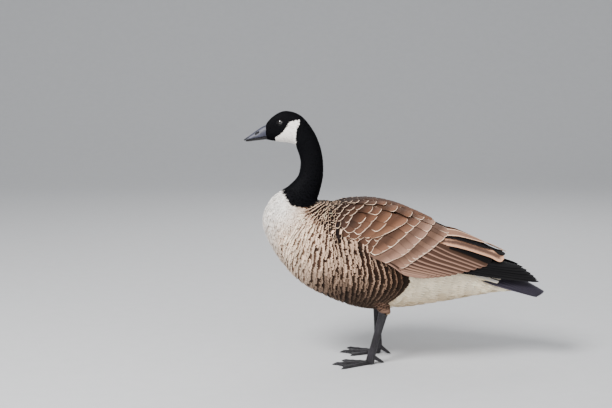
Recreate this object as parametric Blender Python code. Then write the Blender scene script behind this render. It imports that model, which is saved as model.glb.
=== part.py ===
"""A Canada goose at life size, standing still on both feet, as a museum shows one.

Metres, +Z up. The goose faces -X and its left side faces -Y. The origin lies on the floor under the middle of
its length. Head, neck and torso are one lofted trunk parted by thin cuts. The wings, the tail, the bill, the
legs, the feet and the claws are nodes of their own that meet it face to face.
"""

import math

import bmesh
import bpy
import numpy as np

GAP = 0.0003
LEFT, RIGHT = -1, 1
SIDE_NAMES = {LEFT: "left", RIGHT: "right"}
ACROSS = np.array((0.0, 1.0, 0.0))

# The trunk, from the root of the bill to the end of the under-tail coverts
TRUNK_SIDES = 24
TRUNK_FULLNESS = 2.15
# Each row: back x and z, belly x and z, half width, share of the depth above the widest point
TRUNK = {
    "face": (-0.281, 0.520, -0.281, 0.487, 0.0125, 0.55),
    "brow": (-0.270, 0.533, -0.270, 0.485, 0.0155, 0.56),
    "eye": (-0.252, 0.545, -0.251, 0.482, 0.0178, 0.57),
    "crown": (-0.234, 0.548, -0.235, 0.4805, 0.0195, 0.56),
    "nape": (-0.211, 0.541, -0.2195, 0.4765, 0.0205, 0.54),
    "throat": (-0.194, 0.526, -0.2145, 0.467, 0.0213, 0.52),
    "neck_top": (-0.173, 0.494, -0.208, 0.447, 0.0222, 0.50),
    "neck_middle": (-0.160, 0.453, -0.207, 0.429, 0.0235, 0.50),
    "neck_base": (-0.158, 0.409, -0.213, 0.406, 0.0260, 0.50),
    "neck_root": (-0.166, 0.370, -0.233, 0.385, 0.0300, 0.50),
    "collar": (-0.170, 0.356, -0.247, 0.376, 0.0345, 0.50),
    "crop": (-0.161, 0.348, -0.273, 0.354, 0.0470, 0.50),
    "breast": (-0.144, 0.349, -0.290, 0.312, 0.0610, 0.50),
    "breastbone": (-0.124, 0.350, -0.277, 0.264, 0.0735, 0.50),
    "shoulder": (-0.097, 0.352, -0.239, 0.206, 0.0860, 0.50),
    "mantle": (-0.062, 0.353, -0.184, 0.160, 0.0950, 0.52),
    "back": (-0.010, 0.344, -0.080, 0.119, 0.0960, 0.54),
    "loin": (0.050, 0.318, 0.017, 0.119, 0.0860, 0.54),
    "rump": (0.113, 0.276, 0.110, 0.132, 0.0640, 0.52),
    "vent": (0.172, 0.218, 0.170, 0.1425, 0.0430, 0.50),
    "coverts": (0.224, 0.184, 0.226, 0.1520, 0.0320, 0.50),
    "trunk_end": (0.271, 0.163, 0.271, 0.1545, 0.0180, 0.50),
}
TRUNK_NAMES = list(TRUNK)
# Each node of the trunk: where it starts and ends, and how many rings it has
TRUNK_NODES = {
    "head": ("face", "throat", 15),
    "neck_upper": ("throat", "neck_middle", 7),
    "neck_lower": ("neck_middle", "collar", 9),
    "torso": ("collar", "trunk_end", 30),
}

# The bill: x, top z, bottom z and half width, from the face to the tip
BILL_SIDES = 10
UPPER_BILL = (
    (-0.2813, 0.5180, 0.4935, 0.0112),
    (-0.2900, 0.5140, 0.4930, 0.0108),
    (-0.3000, 0.5075, 0.4915, 0.0102),
    (-0.3110, 0.4995, 0.4893, 0.0094),
    (-0.3200, 0.4930, 0.4872, 0.0084),
    (-0.3265, 0.4885, 0.4852, 0.0064),
    (-0.3295, 0.4862, 0.4842, 0.0030),
)
LOWER_BILL = (
    (-0.2813, 0.4932, 0.4868, 0.0100),
    (-0.2950, 0.4918, 0.4850, 0.0094),
    (-0.3080, 0.4894, 0.4835, 0.0085),
    (-0.3190, 0.4868, 0.4822, 0.0072),
    (-0.3255, 0.4848, 0.4822, 0.0050),
)
NOSTRIL_PLACE = (-0.3000, 0.0088, 0.5010)
NOSTRIL_SIZE = (0.0045, 0.0026, 0.0017)
NOSTRIL_SLOPE = math.radians(33)

EYE_PLACE = (-0.2500, 0.0112, 0.5245)
EYE_RADIUS = 0.0072
LID_RADIUS = 0.0058
LID_THICKNESS = 0.0010
LID_OUT = 0.0045

# The folded wing's outer face: x, top y and z, low y and z, and how far the middle bulges out
WING = (
    (-0.148, 0.050, 0.335, 0.070, 0.300, 0.003),
    (-0.125, 0.038, 0.348, 0.083, 0.284, 0.011),
    (-0.095, 0.026, 0.356, 0.093, 0.268, 0.020),
    (-0.055, 0.011, 0.3585, 0.101, 0.255, 0.027),
    (-0.010, 0.005, 0.351, 0.105, 0.236, 0.030),
    (0.030, 0.003, 0.336, 0.101, 0.207, 0.033),
    (0.085, 0.0015, 0.311, 0.088, 0.203, 0.028),
    (0.135, 0.0015, 0.286, 0.068, 0.209, 0.021),
    (0.180, 0.0015, 0.264, 0.050, 0.211, 0.014),
    (0.218, 0.004, 0.242, 0.036, 0.219, 0.007),
)
WING_PAD_DEPTHS = (0.012, 0.018, 0.022, 0.024, 0.024, 0.020, 0.011, 0.007, 0.006, 0.004)
WING_PAD_UNDER = 0.0020
WING_PAD_RINGS = 14
WING_PAD_ACROSS = 7
# Tiers of feathers on the wing, seen from the side. Each row: count, first tip x and z, last tip x and z, length,
# half width, degrees below level, lift of the tip
WING_TIERS = {
    "scapulars_1": (4, -0.118, 0.298, -0.074, 0.354, 0.034, 0.0095, 34, 0.0016),
    "scapulars_2": (5, -0.092, 0.287, -0.030, 0.349, 0.044, 0.0105, 33, 0.0018),
    "scapulars_3": (5, -0.060, 0.276, 0.008, 0.338, 0.056, 0.0120, 32, 0.0022),
    "lesser_coverts": (6, -0.032, 0.261, 0.046, 0.318, 0.056, 0.0120, 30, 0.0015),
    "median_coverts": (6, -0.004, 0.246, 0.078, 0.305, 0.058, 0.0130, 29, 0.0013),
    "greater_coverts": (7, 0.022, 0.230, 0.110, 0.284, 0.062, 0.0125, 28, 0.0010),
    "secondaries": (8, 0.068, 0.206, 0.204, 0.214, 0.105, 0.0090, 15, 0.0002),
}
# Long feathers that reach past the wing's own end. Each row: root x, y, z, tip x, y, z, half width
TERTIALS = (
    (0.072, 0.060, 0.269, 0.206, 0.042, 0.2260, 0.0125),
    (0.085, 0.044, 0.276, 0.2333, 0.028, 0.227, 0.0135),
    (0.090, 0.031, 0.288, 0.236, 0.018, 0.233, 0.0125),
    (0.095, 0.018, 0.297, 0.240, 0.0095, 0.236, 0.0090),
)
FAR_TERTIAL_EXTRA = (0.011, 0.0, -0.006)
PRIMARIES = (
    (0.120, 0.063, 0.213, 0.313, 0.020, 0.177, 0.0105),
    (0.122, 0.060, 0.218, 0.308, 0.019, 0.182, 0.0105),
    (0.124, 0.056, 0.223, 0.295, 0.018, 0.193, 0.0105),
    (0.126, 0.052, 0.228, 0.276, 0.018, 0.205, 0.0105),
)
LONG_FEATHER_SAG = 0.004
LONG_FEATHER_LEAN = math.radians(38)

# Vanes: shares of the length where each section stands, and the width there as a share of the widest
VANE_STATIONS = (0.0, 0.45, 0.86, 1.0)
VANE_WIDTHS = (0.70, 1.0, 0.80, 0.34)
VANE_THICK = 0.0013
VANE_EDGE = 0.0007
ROOT_SUNK = 0.0030
BODY_CURVE = 0.11

TAIL_FEATHERS = 14
TAIL_ROOT = np.array((0.172, 0.0, 0.224))
TAIL_TIP = np.array((0.328, 0.0, 0.1505))
TAIL_ARCH = 0.0045
# The outermost feather's root and tip: behind, beside and below the middle one's
TAIL_ROOT_OUTSIDE = np.array((-0.005, 0.036, -0.0265))
TAIL_TIP_OUTSIDE = np.array((-0.0185, 0.031, -0.002))
TAIL_ROLL = math.radians(48)
TAIL_HALF_WIDTH = 0.0110
TAIL_COVERTS = 7
TAIL_COVERT_START = -0.06
TAIL_COVERT_SHARE = 0.34
TAIL_COVERT_LIFT = 0.0025
TAIL_BLOCK = ((0.180, 0.0, 0.207), (0.030, 0.028, 0.0105), math.radians(26))

# Each leg: hock x, foot joint x and lateral place
LEGS = {LEFT: (-0.0235, -0.0525, 0.050), RIGHT: (-0.035, -0.033, 0.048)}
SHANK_TOP = 0.1165
ANKLE_TOP = 0.022
THIGH_TOP = (-0.030, 0.045, 0.175)
LEG_SIDES = 12
# Shank: share of the way down, half depth and half width
SHANK = (
    (0.00, 0.0096, 0.0078),
    (0.09, 0.0113, 0.0088),
    (0.24, 0.0098, 0.0073),
    (0.50, 0.0087, 0.0065),
    (0.80, 0.0083, 0.0064),
    (1.00, 0.0092, 0.0077),
)
THIGH = ((0.00, 0.0290, 0.0220), (0.40, 0.0250, 0.0190), (0.72, 0.0170, 0.0130), (1.00, 0.0098, 0.0082))

# Toes: length without claw, degrees outwards from straight ahead, half width, height
TOES = {
    "inner": (0.060, -29, 0.0048, 0.0085),
    "middle": (0.076, -1, 0.0054, 0.0095),
    "outer": (0.071, 29, 0.0050, 0.0088),
}
TOE_TAPER = 0.62
FOOT_TURN_OUT = {LEFT: math.radians(6), RIGHT: math.radians(3)}
WEB_UNDER = 0.0006
WEB_THICK = 0.0016
WEB_NOTCH = 0.88
HALLUX_LENGTH = 0.020
HALLUX_START = (0.006, 0.0150)
HALLUX_HALF_WIDTH = 0.0034
CLAW_LENGTH = 0.0085
CLAW_SIDES = 8

COLOURS = {
    "black_plumage": (0.012, 0.012, 0.014, 0.55),
    "breast_plumage": (0.55, 0.44, 0.35, 0.8),
    "wing_plumage": (0.16, 0.10, 0.07, 0.7),
    "tail_plumage": (0.012, 0.012, 0.014, 0.55),
    "bill_horn": (0.035, 0.035, 0.042, 0.4),
    "leg_skin": (0.040, 0.036, 0.038, 0.6),
    "eye_glass": (0.015, 0.008, 0.005, 0.08),
}


def clear_scene():
    for obj in list(bpy.data.objects):
        bpy.data.objects.remove(obj)


def make_materials():
    """One Principled material for each finish."""
    made = {}
    for name, (red, green, blue, roughness) in COLOURS.items():
        material = bpy.data.materials.new(name)
        material.use_nodes = True
        shader = material.node_tree.nodes["Principled BSDF"]
        shader.inputs["Base Color"].default_value = (red, green, blue, 1.0)
        shader.inputs["Roughness"].default_value = roughness
        made[name] = material
    return made


def add_mesh(name, points, faces, material=None):
    """A closed mesh object whose faces point outwards."""
    mesh = bpy.data.meshes.new(name)
    mesh.from_pydata([tuple(float(c) for c in p) for p in points], [], faces)
    shape = bmesh.new()
    shape.from_mesh(mesh)
    bmesh.ops.recalc_face_normals(shape, faces=shape.faces)
    shape.to_mesh(mesh)
    shape.free()
    obj = bpy.data.objects.new(name, mesh)
    bpy.context.scene.collection.objects.link(obj)
    if material:
        mesh.materials.append(material)
    return obj


def loft(name, rings, material=None):
    """A closed skin over rings that all have the same number of points."""
    sides = len(rings[0])
    points = [p for ring in rings for p in ring]
    faces = [tuple(range(sides)), tuple(range(len(points) - sides, len(points)))]
    for r in range(len(rings) - 1):
        for k in range(sides):
            a, b = r * sides + k, r * sides + (k + 1) % sides
            faces += [(a, b, b + sides), (a, b + sides, a + sides)]
    return add_mesh(name, points, faces, material)


def apply_modifiers(obj):
    graph = bpy.context.evaluated_depsgraph_get()
    mesh = bpy.data.meshes.new_from_object(obj.evaluated_get(graph))
    obj.modifiers.clear()
    obj.data = mesh


def combine(obj, pieces, operation, solver="EXACT"):
    """Joins the pieces to obj or cuts them out of it, and removes them."""
    group = bpy.data.collections.new("pieces")
    bpy.context.scene.collection.children.link(group)
    for piece in pieces:
        for holder in list(piece.users_collection):
            holder.objects.unlink(piece)
        group.objects.link(piece)
    modifier = obj.modifiers.new("combine", "BOOLEAN")
    modifier.operation = operation
    modifier.operand_type = "COLLECTION"
    modifier.collection = group
    modifier.solver = solver
    apply_modifiers(obj)
    for piece in pieces:
        bpy.data.objects.remove(piece)
    bpy.data.collections.remove(group)


def keep_largest(obj):
    """Keeps the closed surface that holds the most, and drops scraps and sealed hollows."""
    shape = bmesh.new()
    shape.from_mesh(obj.data)
    bmesh.ops.triangulate(shape, faces=shape.faces)
    shape.faces.ensure_lookup_table()
    unseen, islands = set(shape.faces), []
    while unseen:
        front = [unseen.pop()]
        island = list(front)
        while front:
            for edge in front.pop().edges:
                for face in edge.link_faces:
                    if face in unseen:
                        unseen.remove(face)
                        front.append(face)
                        island.append(face)
        islands.append(island)

    def volume(island):
        corners = ([v.co for v in face.verts] for face in island)
        return sum(a.dot(b.cross(c)) for a, b, c in corners) / 6

    islands.sort(key=volume)
    scraps = [face for island in islands[:-1] for face in island]
    bmesh.ops.delete(shape, geom=scraps, context="FACES")
    shape.to_mesh(obj.data)
    shape.free()


def spline(rows, place):
    """A smooth value between rows, where place counts rows from the first."""
    last = len(rows) - 1
    i = min(int(place), last - 1)
    t = place - i
    before, start, end, after = (np.array(rows[min(max(k, 0), last)]) for k in (i - 1, i, i + 1, i + 2))
    curve = (2 * before - 5 * start + 4 * end - after) * t**2 + (3 * start - before - 3 * end + after) * t**3
    return 0.5 * (2 * start + (end - before) * t + curve)


def unit(vector):
    return vector / np.linalg.norm(vector)


def superellipse(angles, fullness):
    """Cosine and sine drawn out towards a square, as fullness passes 2."""
    c, s = np.cos(angles), np.sin(angles)
    return np.sign(c) * np.abs(c) ** (2 / fullness), np.sign(s) * np.abs(s) ** (2 / fullness)


def trunk_ring(place, swell=0.0, shift=0.0):
    """The trunk's outline at a place, grown by swell and moved by shift towards the tail."""
    back_x, back_z, belly_x, belly_z, half_width, widest = spline(list(TRUNK.values()), place)
    back, belly = np.array((back_x, 0.0, back_z)), np.array((belly_x, 0.0, belly_z))
    depth = np.linalg.norm(back - belly)
    up = (back - belly) / depth
    towards_tail = np.cross(up, ACROSS) * -1
    lift, side = superellipse(np.linspace(0, math.tau, TRUNK_SIDES, endpoint=False), TRUNK_FULLNESS)
    reach = np.where(lift > 0, widest * depth, (1 - widest) * depth) + swell
    middle = back + (belly - back) * widest + towards_tail * shift
    return middle + np.outer(lift * reach, up) - np.outer(side * (half_width + swell), ACROSS)


def trunk_rings(start, end, count, swell=0.0, inset=GAP / 2):
    """Rings between two named stations, the first and last drawn in by inset."""
    places = np.linspace(TRUNK_NAMES.index(start), TRUNK_NAMES.index(end), count)
    shifts = [0.0] * count
    shifts[0], shifts[-1] = inset, -inset
    return [trunk_ring(place, swell, shift) for place, shift in zip(places, shifts)]


def trunk_cutter(swell=GAP):
    """The whole torso, a gap larger all round, to cut what meets it."""
    return loft("torso_cutter", trunk_rings("collar", "trunk_end", TRUNK_NODES["torso"][2], swell, -swell))


def ball(name, place, size, sides=12, rows=8, turn=(0, 0, 0)):
    """A sphere stretched to its size, with the scale in its mesh."""
    bpy.ops.mesh.primitive_uv_sphere_add(segments=sides, ring_count=rows, location=place, rotation=turn)
    obj = bpy.context.object
    obj.name = name
    obj.scale = size
    bpy.ops.object.transform_apply(location=False, rotation=True, scale=True)
    return obj


def lid(side):
    """The raised rim of the eye's lids."""
    x, y, z = EYE_PLACE
    bpy.ops.mesh.primitive_torus_add(
        location=(x, side * (y + LID_OUT), z),
        rotation=(side * math.radians(82), 0, 0),
        major_segments=16,
        minor_segments=6,
        major_radius=LID_RADIUS,
        minor_radius=LID_THICKNESS,
    )
    return bpy.context.object


def make_trunk(materials):
    """Head, neck and torso from one loft, with lids and sockets in the head."""
    nodes = {}
    for name, (start, end, count) in TRUNK_NODES.items():
        finish = "breast_plumage" if name == "torso" else "black_plumage"
        nodes[name] = loft(name, trunk_rings(start, end, count), materials[finish])
    head = nodes["head"]
    combine(head, [lid(side) for side in SIDE_NAMES], "UNION")
    x, y, z = EYE_PLACE
    sockets = [ball("socket", (x, side * y, z), (EYE_RADIUS + GAP,) * 3) for side in SIDE_NAMES]
    combine(head, sockets, "DIFFERENCE")
    keep_largest(head)


def make_eyes(materials):
    x, y, z = EYE_PLACE
    for side, side_name in SIDE_NAMES.items():
        eye = ball(f"eye_{side_name}", (x, side * y, z), (EYE_RADIUS,) * 3)
        eye.data.materials.append(materials["eye_glass"])


def bill_half(name, rows, is_upper, material):
    """One mandible, rounded away from the line of the mouth and flat along it."""
    rings = []
    for x, top, bottom, half_width in rows:
        angles = np.linspace(0, math.pi, BILL_SIDES)
        if is_upper:
            heights = bottom + (top - bottom) * np.sin(angles)
        else:
            heights = top - (top - bottom) * np.sin(angles)
        rings.append(np.column_stack((np.full(BILL_SIDES, x), half_width * np.cos(angles), heights)))
    return loft(name, rings, material)


def make_bill(materials):
    """Both mandibles, with the nostrils hollowed into the upper one."""
    upper = bill_half("bill_upper", UPPER_BILL, True, materials["bill_horn"])
    x, y, z = NOSTRIL_PLACE
    nostrils = [
        ball("nostril", (x, side * y, z), NOSTRIL_SIZE, 8, 6, (0, -NOSTRIL_SLOPE, 0)) for side in SIDE_NAMES
    ]
    combine(upper, nostrils, "DIFFERENCE")
    bill_half("bill_lower", LOWER_BILL, False, materials["bill_horn"])


def vane(points, normals, half_width, material=None, curve=BODY_CURVE, thick=VANE_THICK):
    """A flat feather along a line of points, thickest along its shaft, that follows a curved body."""
    tangents = np.gradient(points, axis=0)
    rings = []
    for point, normal, tangent, share in zip(points, normals, tangents, VANE_WIDTHS):
        side = unit(np.cross(normal, tangent))
        width = half_width * share
        down = normal * (width**2 / (2 * curve))
        left, right = point - side * width - down, point + side * width - down
        edge = normal * VANE_EDGE
        rings.append([left - edge, left, point + normal * (thick - VANE_EDGE), right, right - edge])
    sides = len(rings[0])
    faces = [(0, 1, 2), (0, 2, 3), (0, 3, 4)]
    last = (len(rings) - 1) * sides
    faces += [tuple(last + k for k in face[::-1]) for face in faces]
    for r in range(len(rings) - 1):
        for k in range(sides):
            a, b = r * sides + k, r * sides + (k + 1) % sides
            faces += [(a, b, a + sides), (b, b + sides, a + sides)]
    return add_mesh("vane", [p for ring in rings for p in ring], faces, material)


def wing_section(x):
    """Top edge, low edge and bulge of the left wing's outer face at x."""
    places = [row[0] for row in WING]
    place = np.interp(x, places, range(len(places)))
    _, top_y, top_z, low_y, low_z, bulge = spline(WING, place)
    return np.array((-top_y, top_z)), np.array((-low_y, low_z)), bulge


def wing_point(x, share):
    """A point of the left wing's outer face, share 0 at its top edge and 1 at its low edge."""
    top, low, bulge = wing_section(x)
    chord = unit(low - top)
    outwards = np.array((chord[1], -chord[0]))
    y, z = top + (low - top) * share + outwards * bulge * 4 * share * (1 - share)
    return np.array((x, y, z))


def wing_normal(x, share, step=0.002):
    along = wing_point(x + step, share) - wing_point(x - step, share)
    down = wing_point(x, share + step) - wing_point(x, share - step)
    return unit(np.cross(down, along))


def wing_share(x, height):
    """Where on the section at x the face has this height."""
    low, high = 0.0, 1.0
    for _ in range(20):
        middle = (low + high) / 2
        if wing_point(x, middle)[2] > height:
            low = middle
        else:
            high = middle
    return (low + high) / 2


def wing_pad():
    """The body of the folded wing, under its feathers."""
    rings = []
    first, last = WING[0][0], WING[-1][0]
    for x in np.linspace(first, last, WING_PAD_RINGS):
        depth = np.interp(x, [row[0] for row in WING], WING_PAD_DEPTHS)
        shares = np.linspace(0.01, 0.985, WING_PAD_ACROSS)
        outer = [wing_point(x, s) - wing_normal(x, s) * WING_PAD_UNDER for s in shares]
        inner = [p - wing_normal(x, s) * depth for p, s in zip(outer, shares)]
        rings.append(outer + inner[::-1])
    return loft("wing_pad", rings)


def surface_vane(tip_x, tip_z, length, half_width, slope, lift):
    """A feather that lies along the wing's face, its root sunk in the pad and its tip lifted."""
    points, normals = [], []
    for share in VANE_STATIONS:
        back = (1 - share) * length
        x = tip_x - back * math.cos(slope)
        on_face = wing_share(x, tip_z + back * math.sin(slope))
        normal = wing_normal(x, on_face)
        rise = -ROOT_SUNK + (lift + ROOT_SUNK) * share
        points.append(wing_point(x, on_face) + normal * rise)
        normals.append(normal)
    return vane(np.array(points), normals, half_width)


def long_feather(row, lean, extra=(0, 0, 0)):
    """A flight feather from root to tip, bent down a little, leaning outwards like a roof."""
    root = np.array((row[0], -row[1], row[2]))
    tip = np.array((row[3], -row[4], row[5])) + np.array(extra)
    shares = np.array(VANE_STATIONS)[:, None]
    points = root + (tip - root) * shares
    points[:, 2] += LONG_FEATHER_SAG * 4 * (shares * (1 - shares))[:, 0]
    normal = np.array((0.0, -math.sin(lean), math.cos(lean)))
    return vane(points, [normal] * len(points), row[6], curve=0.06)


def mirror(obj):
    """Turns a left piece into a right one."""
    shape = bmesh.new()
    shape.from_mesh(obj.data)
    for vertex in shape.verts:
        vertex.co.y *= -1
    bmesh.ops.reverse_faces(shape, faces=shape.faces)
    shape.to_mesh(obj.data)
    shape.free()


def other_half():
    """The space right of the middle plane, to keep the left wing clear of the right one."""
    bpy.ops.mesh.primitive_cube_add(size=1, location=(0, 0.5 - GAP, 0.3))
    return bpy.context.object


def make_wing(side, material):
    """A folded wing: pad, tiers of coverts and secondaries, tertials over them, primaries behind."""
    wing = wing_pad()
    wing.name = f"wing_{SIDE_NAMES[side]}"
    wing.data.materials.append(material)
    feathers = []
    for count, x0, z0, x1, z1, length, half_width, degrees, lift in WING_TIERS.values():
        for k in range(count):
            share = k / (count - 1)
            tip_x, tip_z = x0 + (x1 - x0) * share, z0 + (z1 - z0) * share
            feathers.append(surface_vane(tip_x, tip_z, length, half_width, math.radians(degrees), lift))
    for k, row in enumerate(TERTIALS):
        extra = FAR_TERTIAL_EXTRA if side == RIGHT and k == len(TERTIALS) - 1 else (0, 0, 0)
        feathers.append(long_feather(row, LONG_FEATHER_LEAN, extra))
    feathers += [long_feather(row, LONG_FEATHER_LEAN) for row in PRIMARIES]
    combine(wing, feathers, "UNION", "MANIFOLD")
    combine(wing, [other_half()], "DIFFERENCE", "MANIFOLD")
    if side == RIGHT:
        mirror(wing)
    combine(wing, [trunk_cutter()], "DIFFERENCE", "MANIFOLD")
    keep_largest(wing)


def tail_line(place):
    """Root and tip of the tail feather at a place from -1 to 1 across the tail."""
    sideways = np.array((1.0, np.sign(place), 1.0))
    spread = np.array((place**2, abs(place), place**2))
    root = TAIL_ROOT + TAIL_ROOT_OUTSIDE * spread * sideways
    tip = TAIL_TIP + TAIL_TIP_OUTSIDE * np.array((abs(place) ** 1.6, abs(place), abs(place))) * sideways
    return root, tip


def tail_feather(place, start, end, lift):
    """A tail feather along part of its line, rolled more at its root than at its tip."""
    root, tip = tail_line(place)
    points, normals = [], []
    for share in VANE_STATIONS:
        along = start + (end - start) * share
        roll = -place * TAIL_ROLL * (1 - along)
        rise = TAIL_ARCH * (1 - place**2) * 4 * along * (1 - along) + lift * share
        slope = math.atan2(root[2] - tip[2], tip[0] - root[0])
        up = np.array((math.sin(slope), 0.0, math.cos(slope)))
        points.append(root + (tip - root) * along + up * rise)
        normals.append(up * math.cos(roll) - ACROSS * math.sin(roll))
    return vane(np.array(points), normals, TAIL_HALF_WIDTH, curve=0.08)


def make_tail(material):
    """A closed fan of tail feathers, the middle ones on top, under a tier of coverts."""
    place, size, slope = TAIL_BLOCK
    tail = ball("tail", place, size, 14, 8, (0, slope, 0))
    tail.data.materials.append(material)
    places = np.linspace(-1, 1, TAIL_FEATHERS)
    feathers = [tail_feather(p, 0.0, 1.0, 0.0) for p in places]
    covert_places = np.linspace(-1, 1, TAIL_COVERTS)
    feathers += [tail_feather(p, TAIL_COVERT_START, TAIL_COVERT_SHARE, TAIL_COVERT_LIFT) for p in covert_places]
    combine(tail, feathers, "UNION", "MANIFOLD")
    combine(tail, [trunk_cutter()], "DIFFERENCE", "MANIFOLD")
    keep_largest(tail)


def leg_ring(centre, half_depth, half_width):
    """A level oval round a leg."""
    angles = np.linspace(0, math.tau, LEG_SIDES, endpoint=False)
    return [centre + np.array((half_depth * math.cos(a), half_width * math.sin(a), 0.0)) for a in angles]


def tube(name, top, bottom, sections, material):
    """A leg's stretch between two points, through its sections from the top."""
    rings = [leg_ring(top + (bottom - top) * share, depth, width) for share, depth, width in sections]
    return loft(name, rings, material)


def toe(start, direction, length, half_width, height, end_share, side_vector):
    """A toe with a flat sole on the floor, tapering forwards."""
    rings = []
    for share, swell in ((0.0, 1.0), (0.33, 0.92), (0.40, 1.02), (0.62, 0.84), (0.70, 0.94), (1.0, 1.0)):
        size = (1 - share) + end_share * share
        w, h = half_width * size * swell, height * size * swell
        centre = start + direction * length * share
        section = ((-0.62, 0.0), (-1.0, 0.38), (-0.72, 0.82), (0.0, 1.0), (0.72, 0.82), (1.0, 0.38), (0.62, 0.0))
        rings.append([centre + side_vector * w * a + np.array((0.0, 0.0, h * b)) for a, b in section])
    return loft("toe", rings)


def web(start, tip_a, tip_b):
    """The skin between two toes, with a hollow front edge."""
    middle = start + ((tip_a + tip_b) / 2 - start) * WEB_NOTCH
    quarter_a = start + (tip_a * 0.72 + tip_b * 0.28 - start) * (WEB_NOTCH + 0.06)
    quarter_b = start + (tip_a * 0.28 + tip_b * 0.72 - start) * (WEB_NOTCH + 0.06)
    outline = [start, tip_a, quarter_a, middle, quarter_b, tip_b]
    points = [p + np.array((0, 0, h)) for h in (WEB_UNDER, WEB_UNDER + WEB_THICK) for p in outline]
    n = len(outline)
    faces = [tuple(range(n)), tuple(range(n, 2 * n))]
    faces += [(k, (k + 1) % n, (k + 1) % n + n, k + n) for k in range(n)]
    return add_mesh("web", points, faces)


def claw(name, base, direction, radius, height, material):
    """A short blunt claw, its flat base towards the toe."""
    up = np.array((0.0, 0.0, 1.0))
    side_vector = unit(np.cross(up, direction))
    rings = []
    for share, size in ((0.0, 1.0), (0.5, 0.72), (0.85, 0.38), (1.0, 0.16)):
        centre = base + direction * CLAW_LENGTH * share
        centre[2] = height + (radius * 0.35 + GAP - height) * share**2
        angles = np.linspace(0, math.tau, CLAW_SIDES, endpoint=False)
        ring = [centre + side_vector * radius * size * math.cos(a) + up * radius * size * math.sin(a) for a in angles]
        rings.append([np.array((p[0], p[1], max(p[2], 0.0))) for p in ring])
    return loft(name, rings, material)


def make_foot(side, material):
    """Three webbed toes, a raised hind toe and the joint above them, with a claw on each toe."""
    side_name = SIDE_NAMES[side]
    _, joint_x, joint_y = LEGS[side]
    joint = np.array((joint_x, side * joint_y, 0.0))
    foot = tube(
        f"foot_{side_name}",
        joint + np.array((0, 0, ANKLE_TOP)),
        joint + np.array((-0.004, 0, 0.0012)),
        ((0.0, 0.0088, 0.0074), (0.45, 0.0096, 0.0082), (1.0, 0.0098, 0.0086)),
        material,
    )
    pieces, tips = [], {}
    start = joint + np.array((-0.003, 0, 0))
    for toe_name, (length, degrees, half_width, height) in TOES.items():
        turn = side * (math.radians(degrees) + FOOT_TURN_OUT[side])
        direction = np.array((-math.cos(turn), math.sin(turn), 0.0))
        across = np.array((-direction[1], direction[0], 0.0))
        pieces.append(toe(start, direction, length, half_width, height, TOE_TAPER, across))
        tips[toe_name] = start + direction * length
        base = tips[toe_name] + direction * GAP
        claw_name = f"claw_{side_name}_{toe_name}"
        claw(claw_name, base, direction, half_width * TOE_TAPER * 0.72, height * TOE_TAPER * 0.46, material)
    pieces.append(web(start, tips["inner"], tips["middle"]))
    pieces.append(web(start, tips["middle"], tips["outer"]))
    inwards = unit(np.array((0.93, -side * 0.36, 0.0)))
    hind_start = joint + inwards * HALLUX_START[0] + np.array((0, 0, HALLUX_START[1]))
    hind_end = joint + inwards * (HALLUX_START[0] + HALLUX_LENGTH) + np.array((0, 0, 0.0045))
    across = np.array((-inwards[1], inwards[0], 0.0))
    rings = []
    for share, size in ((0.0, 1.25), (0.6, 1.0), (1.0, 0.85)):
        centre = hind_start + (hind_end - hind_start) * share
        radius = HALLUX_HALF_WIDTH * size
        angles = np.linspace(0, math.tau, CLAW_SIDES, endpoint=False)
        rings.append([centre + across * radius * math.cos(a) + np.array((0, 0, radius * math.sin(a))) for a in angles])
    pieces.append(loft("hind_toe", rings))
    combine(foot, pieces, "UNION")
    keep_largest(foot)
    claw(
        f"claw_{side_name}_hind",
        hind_end + inwards * GAP,
        inwards,
        HALLUX_HALF_WIDTH * 0.72,
        hind_end[2],
        material,
    )


def make_leg(side, materials):
    """Feathered thigh, bare shank and webbed foot."""
    side_name = SIDE_NAMES[side]
    hock_x, joint_x, joint_y = LEGS[side]
    hock = np.array((hock_x, side * joint_y, SHANK_TOP))
    joint = np.array((joint_x, side * joint_y, ANKLE_TOP + GAP))
    tube(f"shank_{side_name}", hock, joint, SHANK, materials["leg_skin"])
    hip = np.array((hock_x + THIGH_TOP[0], side * THIGH_TOP[1], THIGH_TOP[2]))
    thigh_end = hock + np.array((0, 0, GAP))
    thigh = tube(f"thigh_{side_name}", hip, thigh_end, THIGH, materials["breast_plumage"])
    combine(thigh, [trunk_cutter()], "DIFFERENCE")
    keep_largest(thigh)
    make_foot(side, materials["leg_skin"])


def main():
    clear_scene()
    materials = make_materials()
    make_trunk(materials)
    make_eyes(materials)
    make_bill(materials)
    for side in SIDE_NAMES:
        make_wing(side, materials["wing_plumage"])
        make_leg(side, materials)
    make_tail(materials["tail_plumage"])


main()
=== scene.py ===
"""The looks of a life-size Canada goose standing still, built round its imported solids.

Metres, +Z up. The goose faces -X and its left side faces -Y. Feathers are laid on the surfaces that the
solids are made from: each is a vane or a few narrow locks whose roots sink to the skin and whose tips reach
the outline.
"""

import math
from functools import partialmethod
from typing import NamedTuple

import bpy
import numpy as np
from mathutils import Matrix


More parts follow.
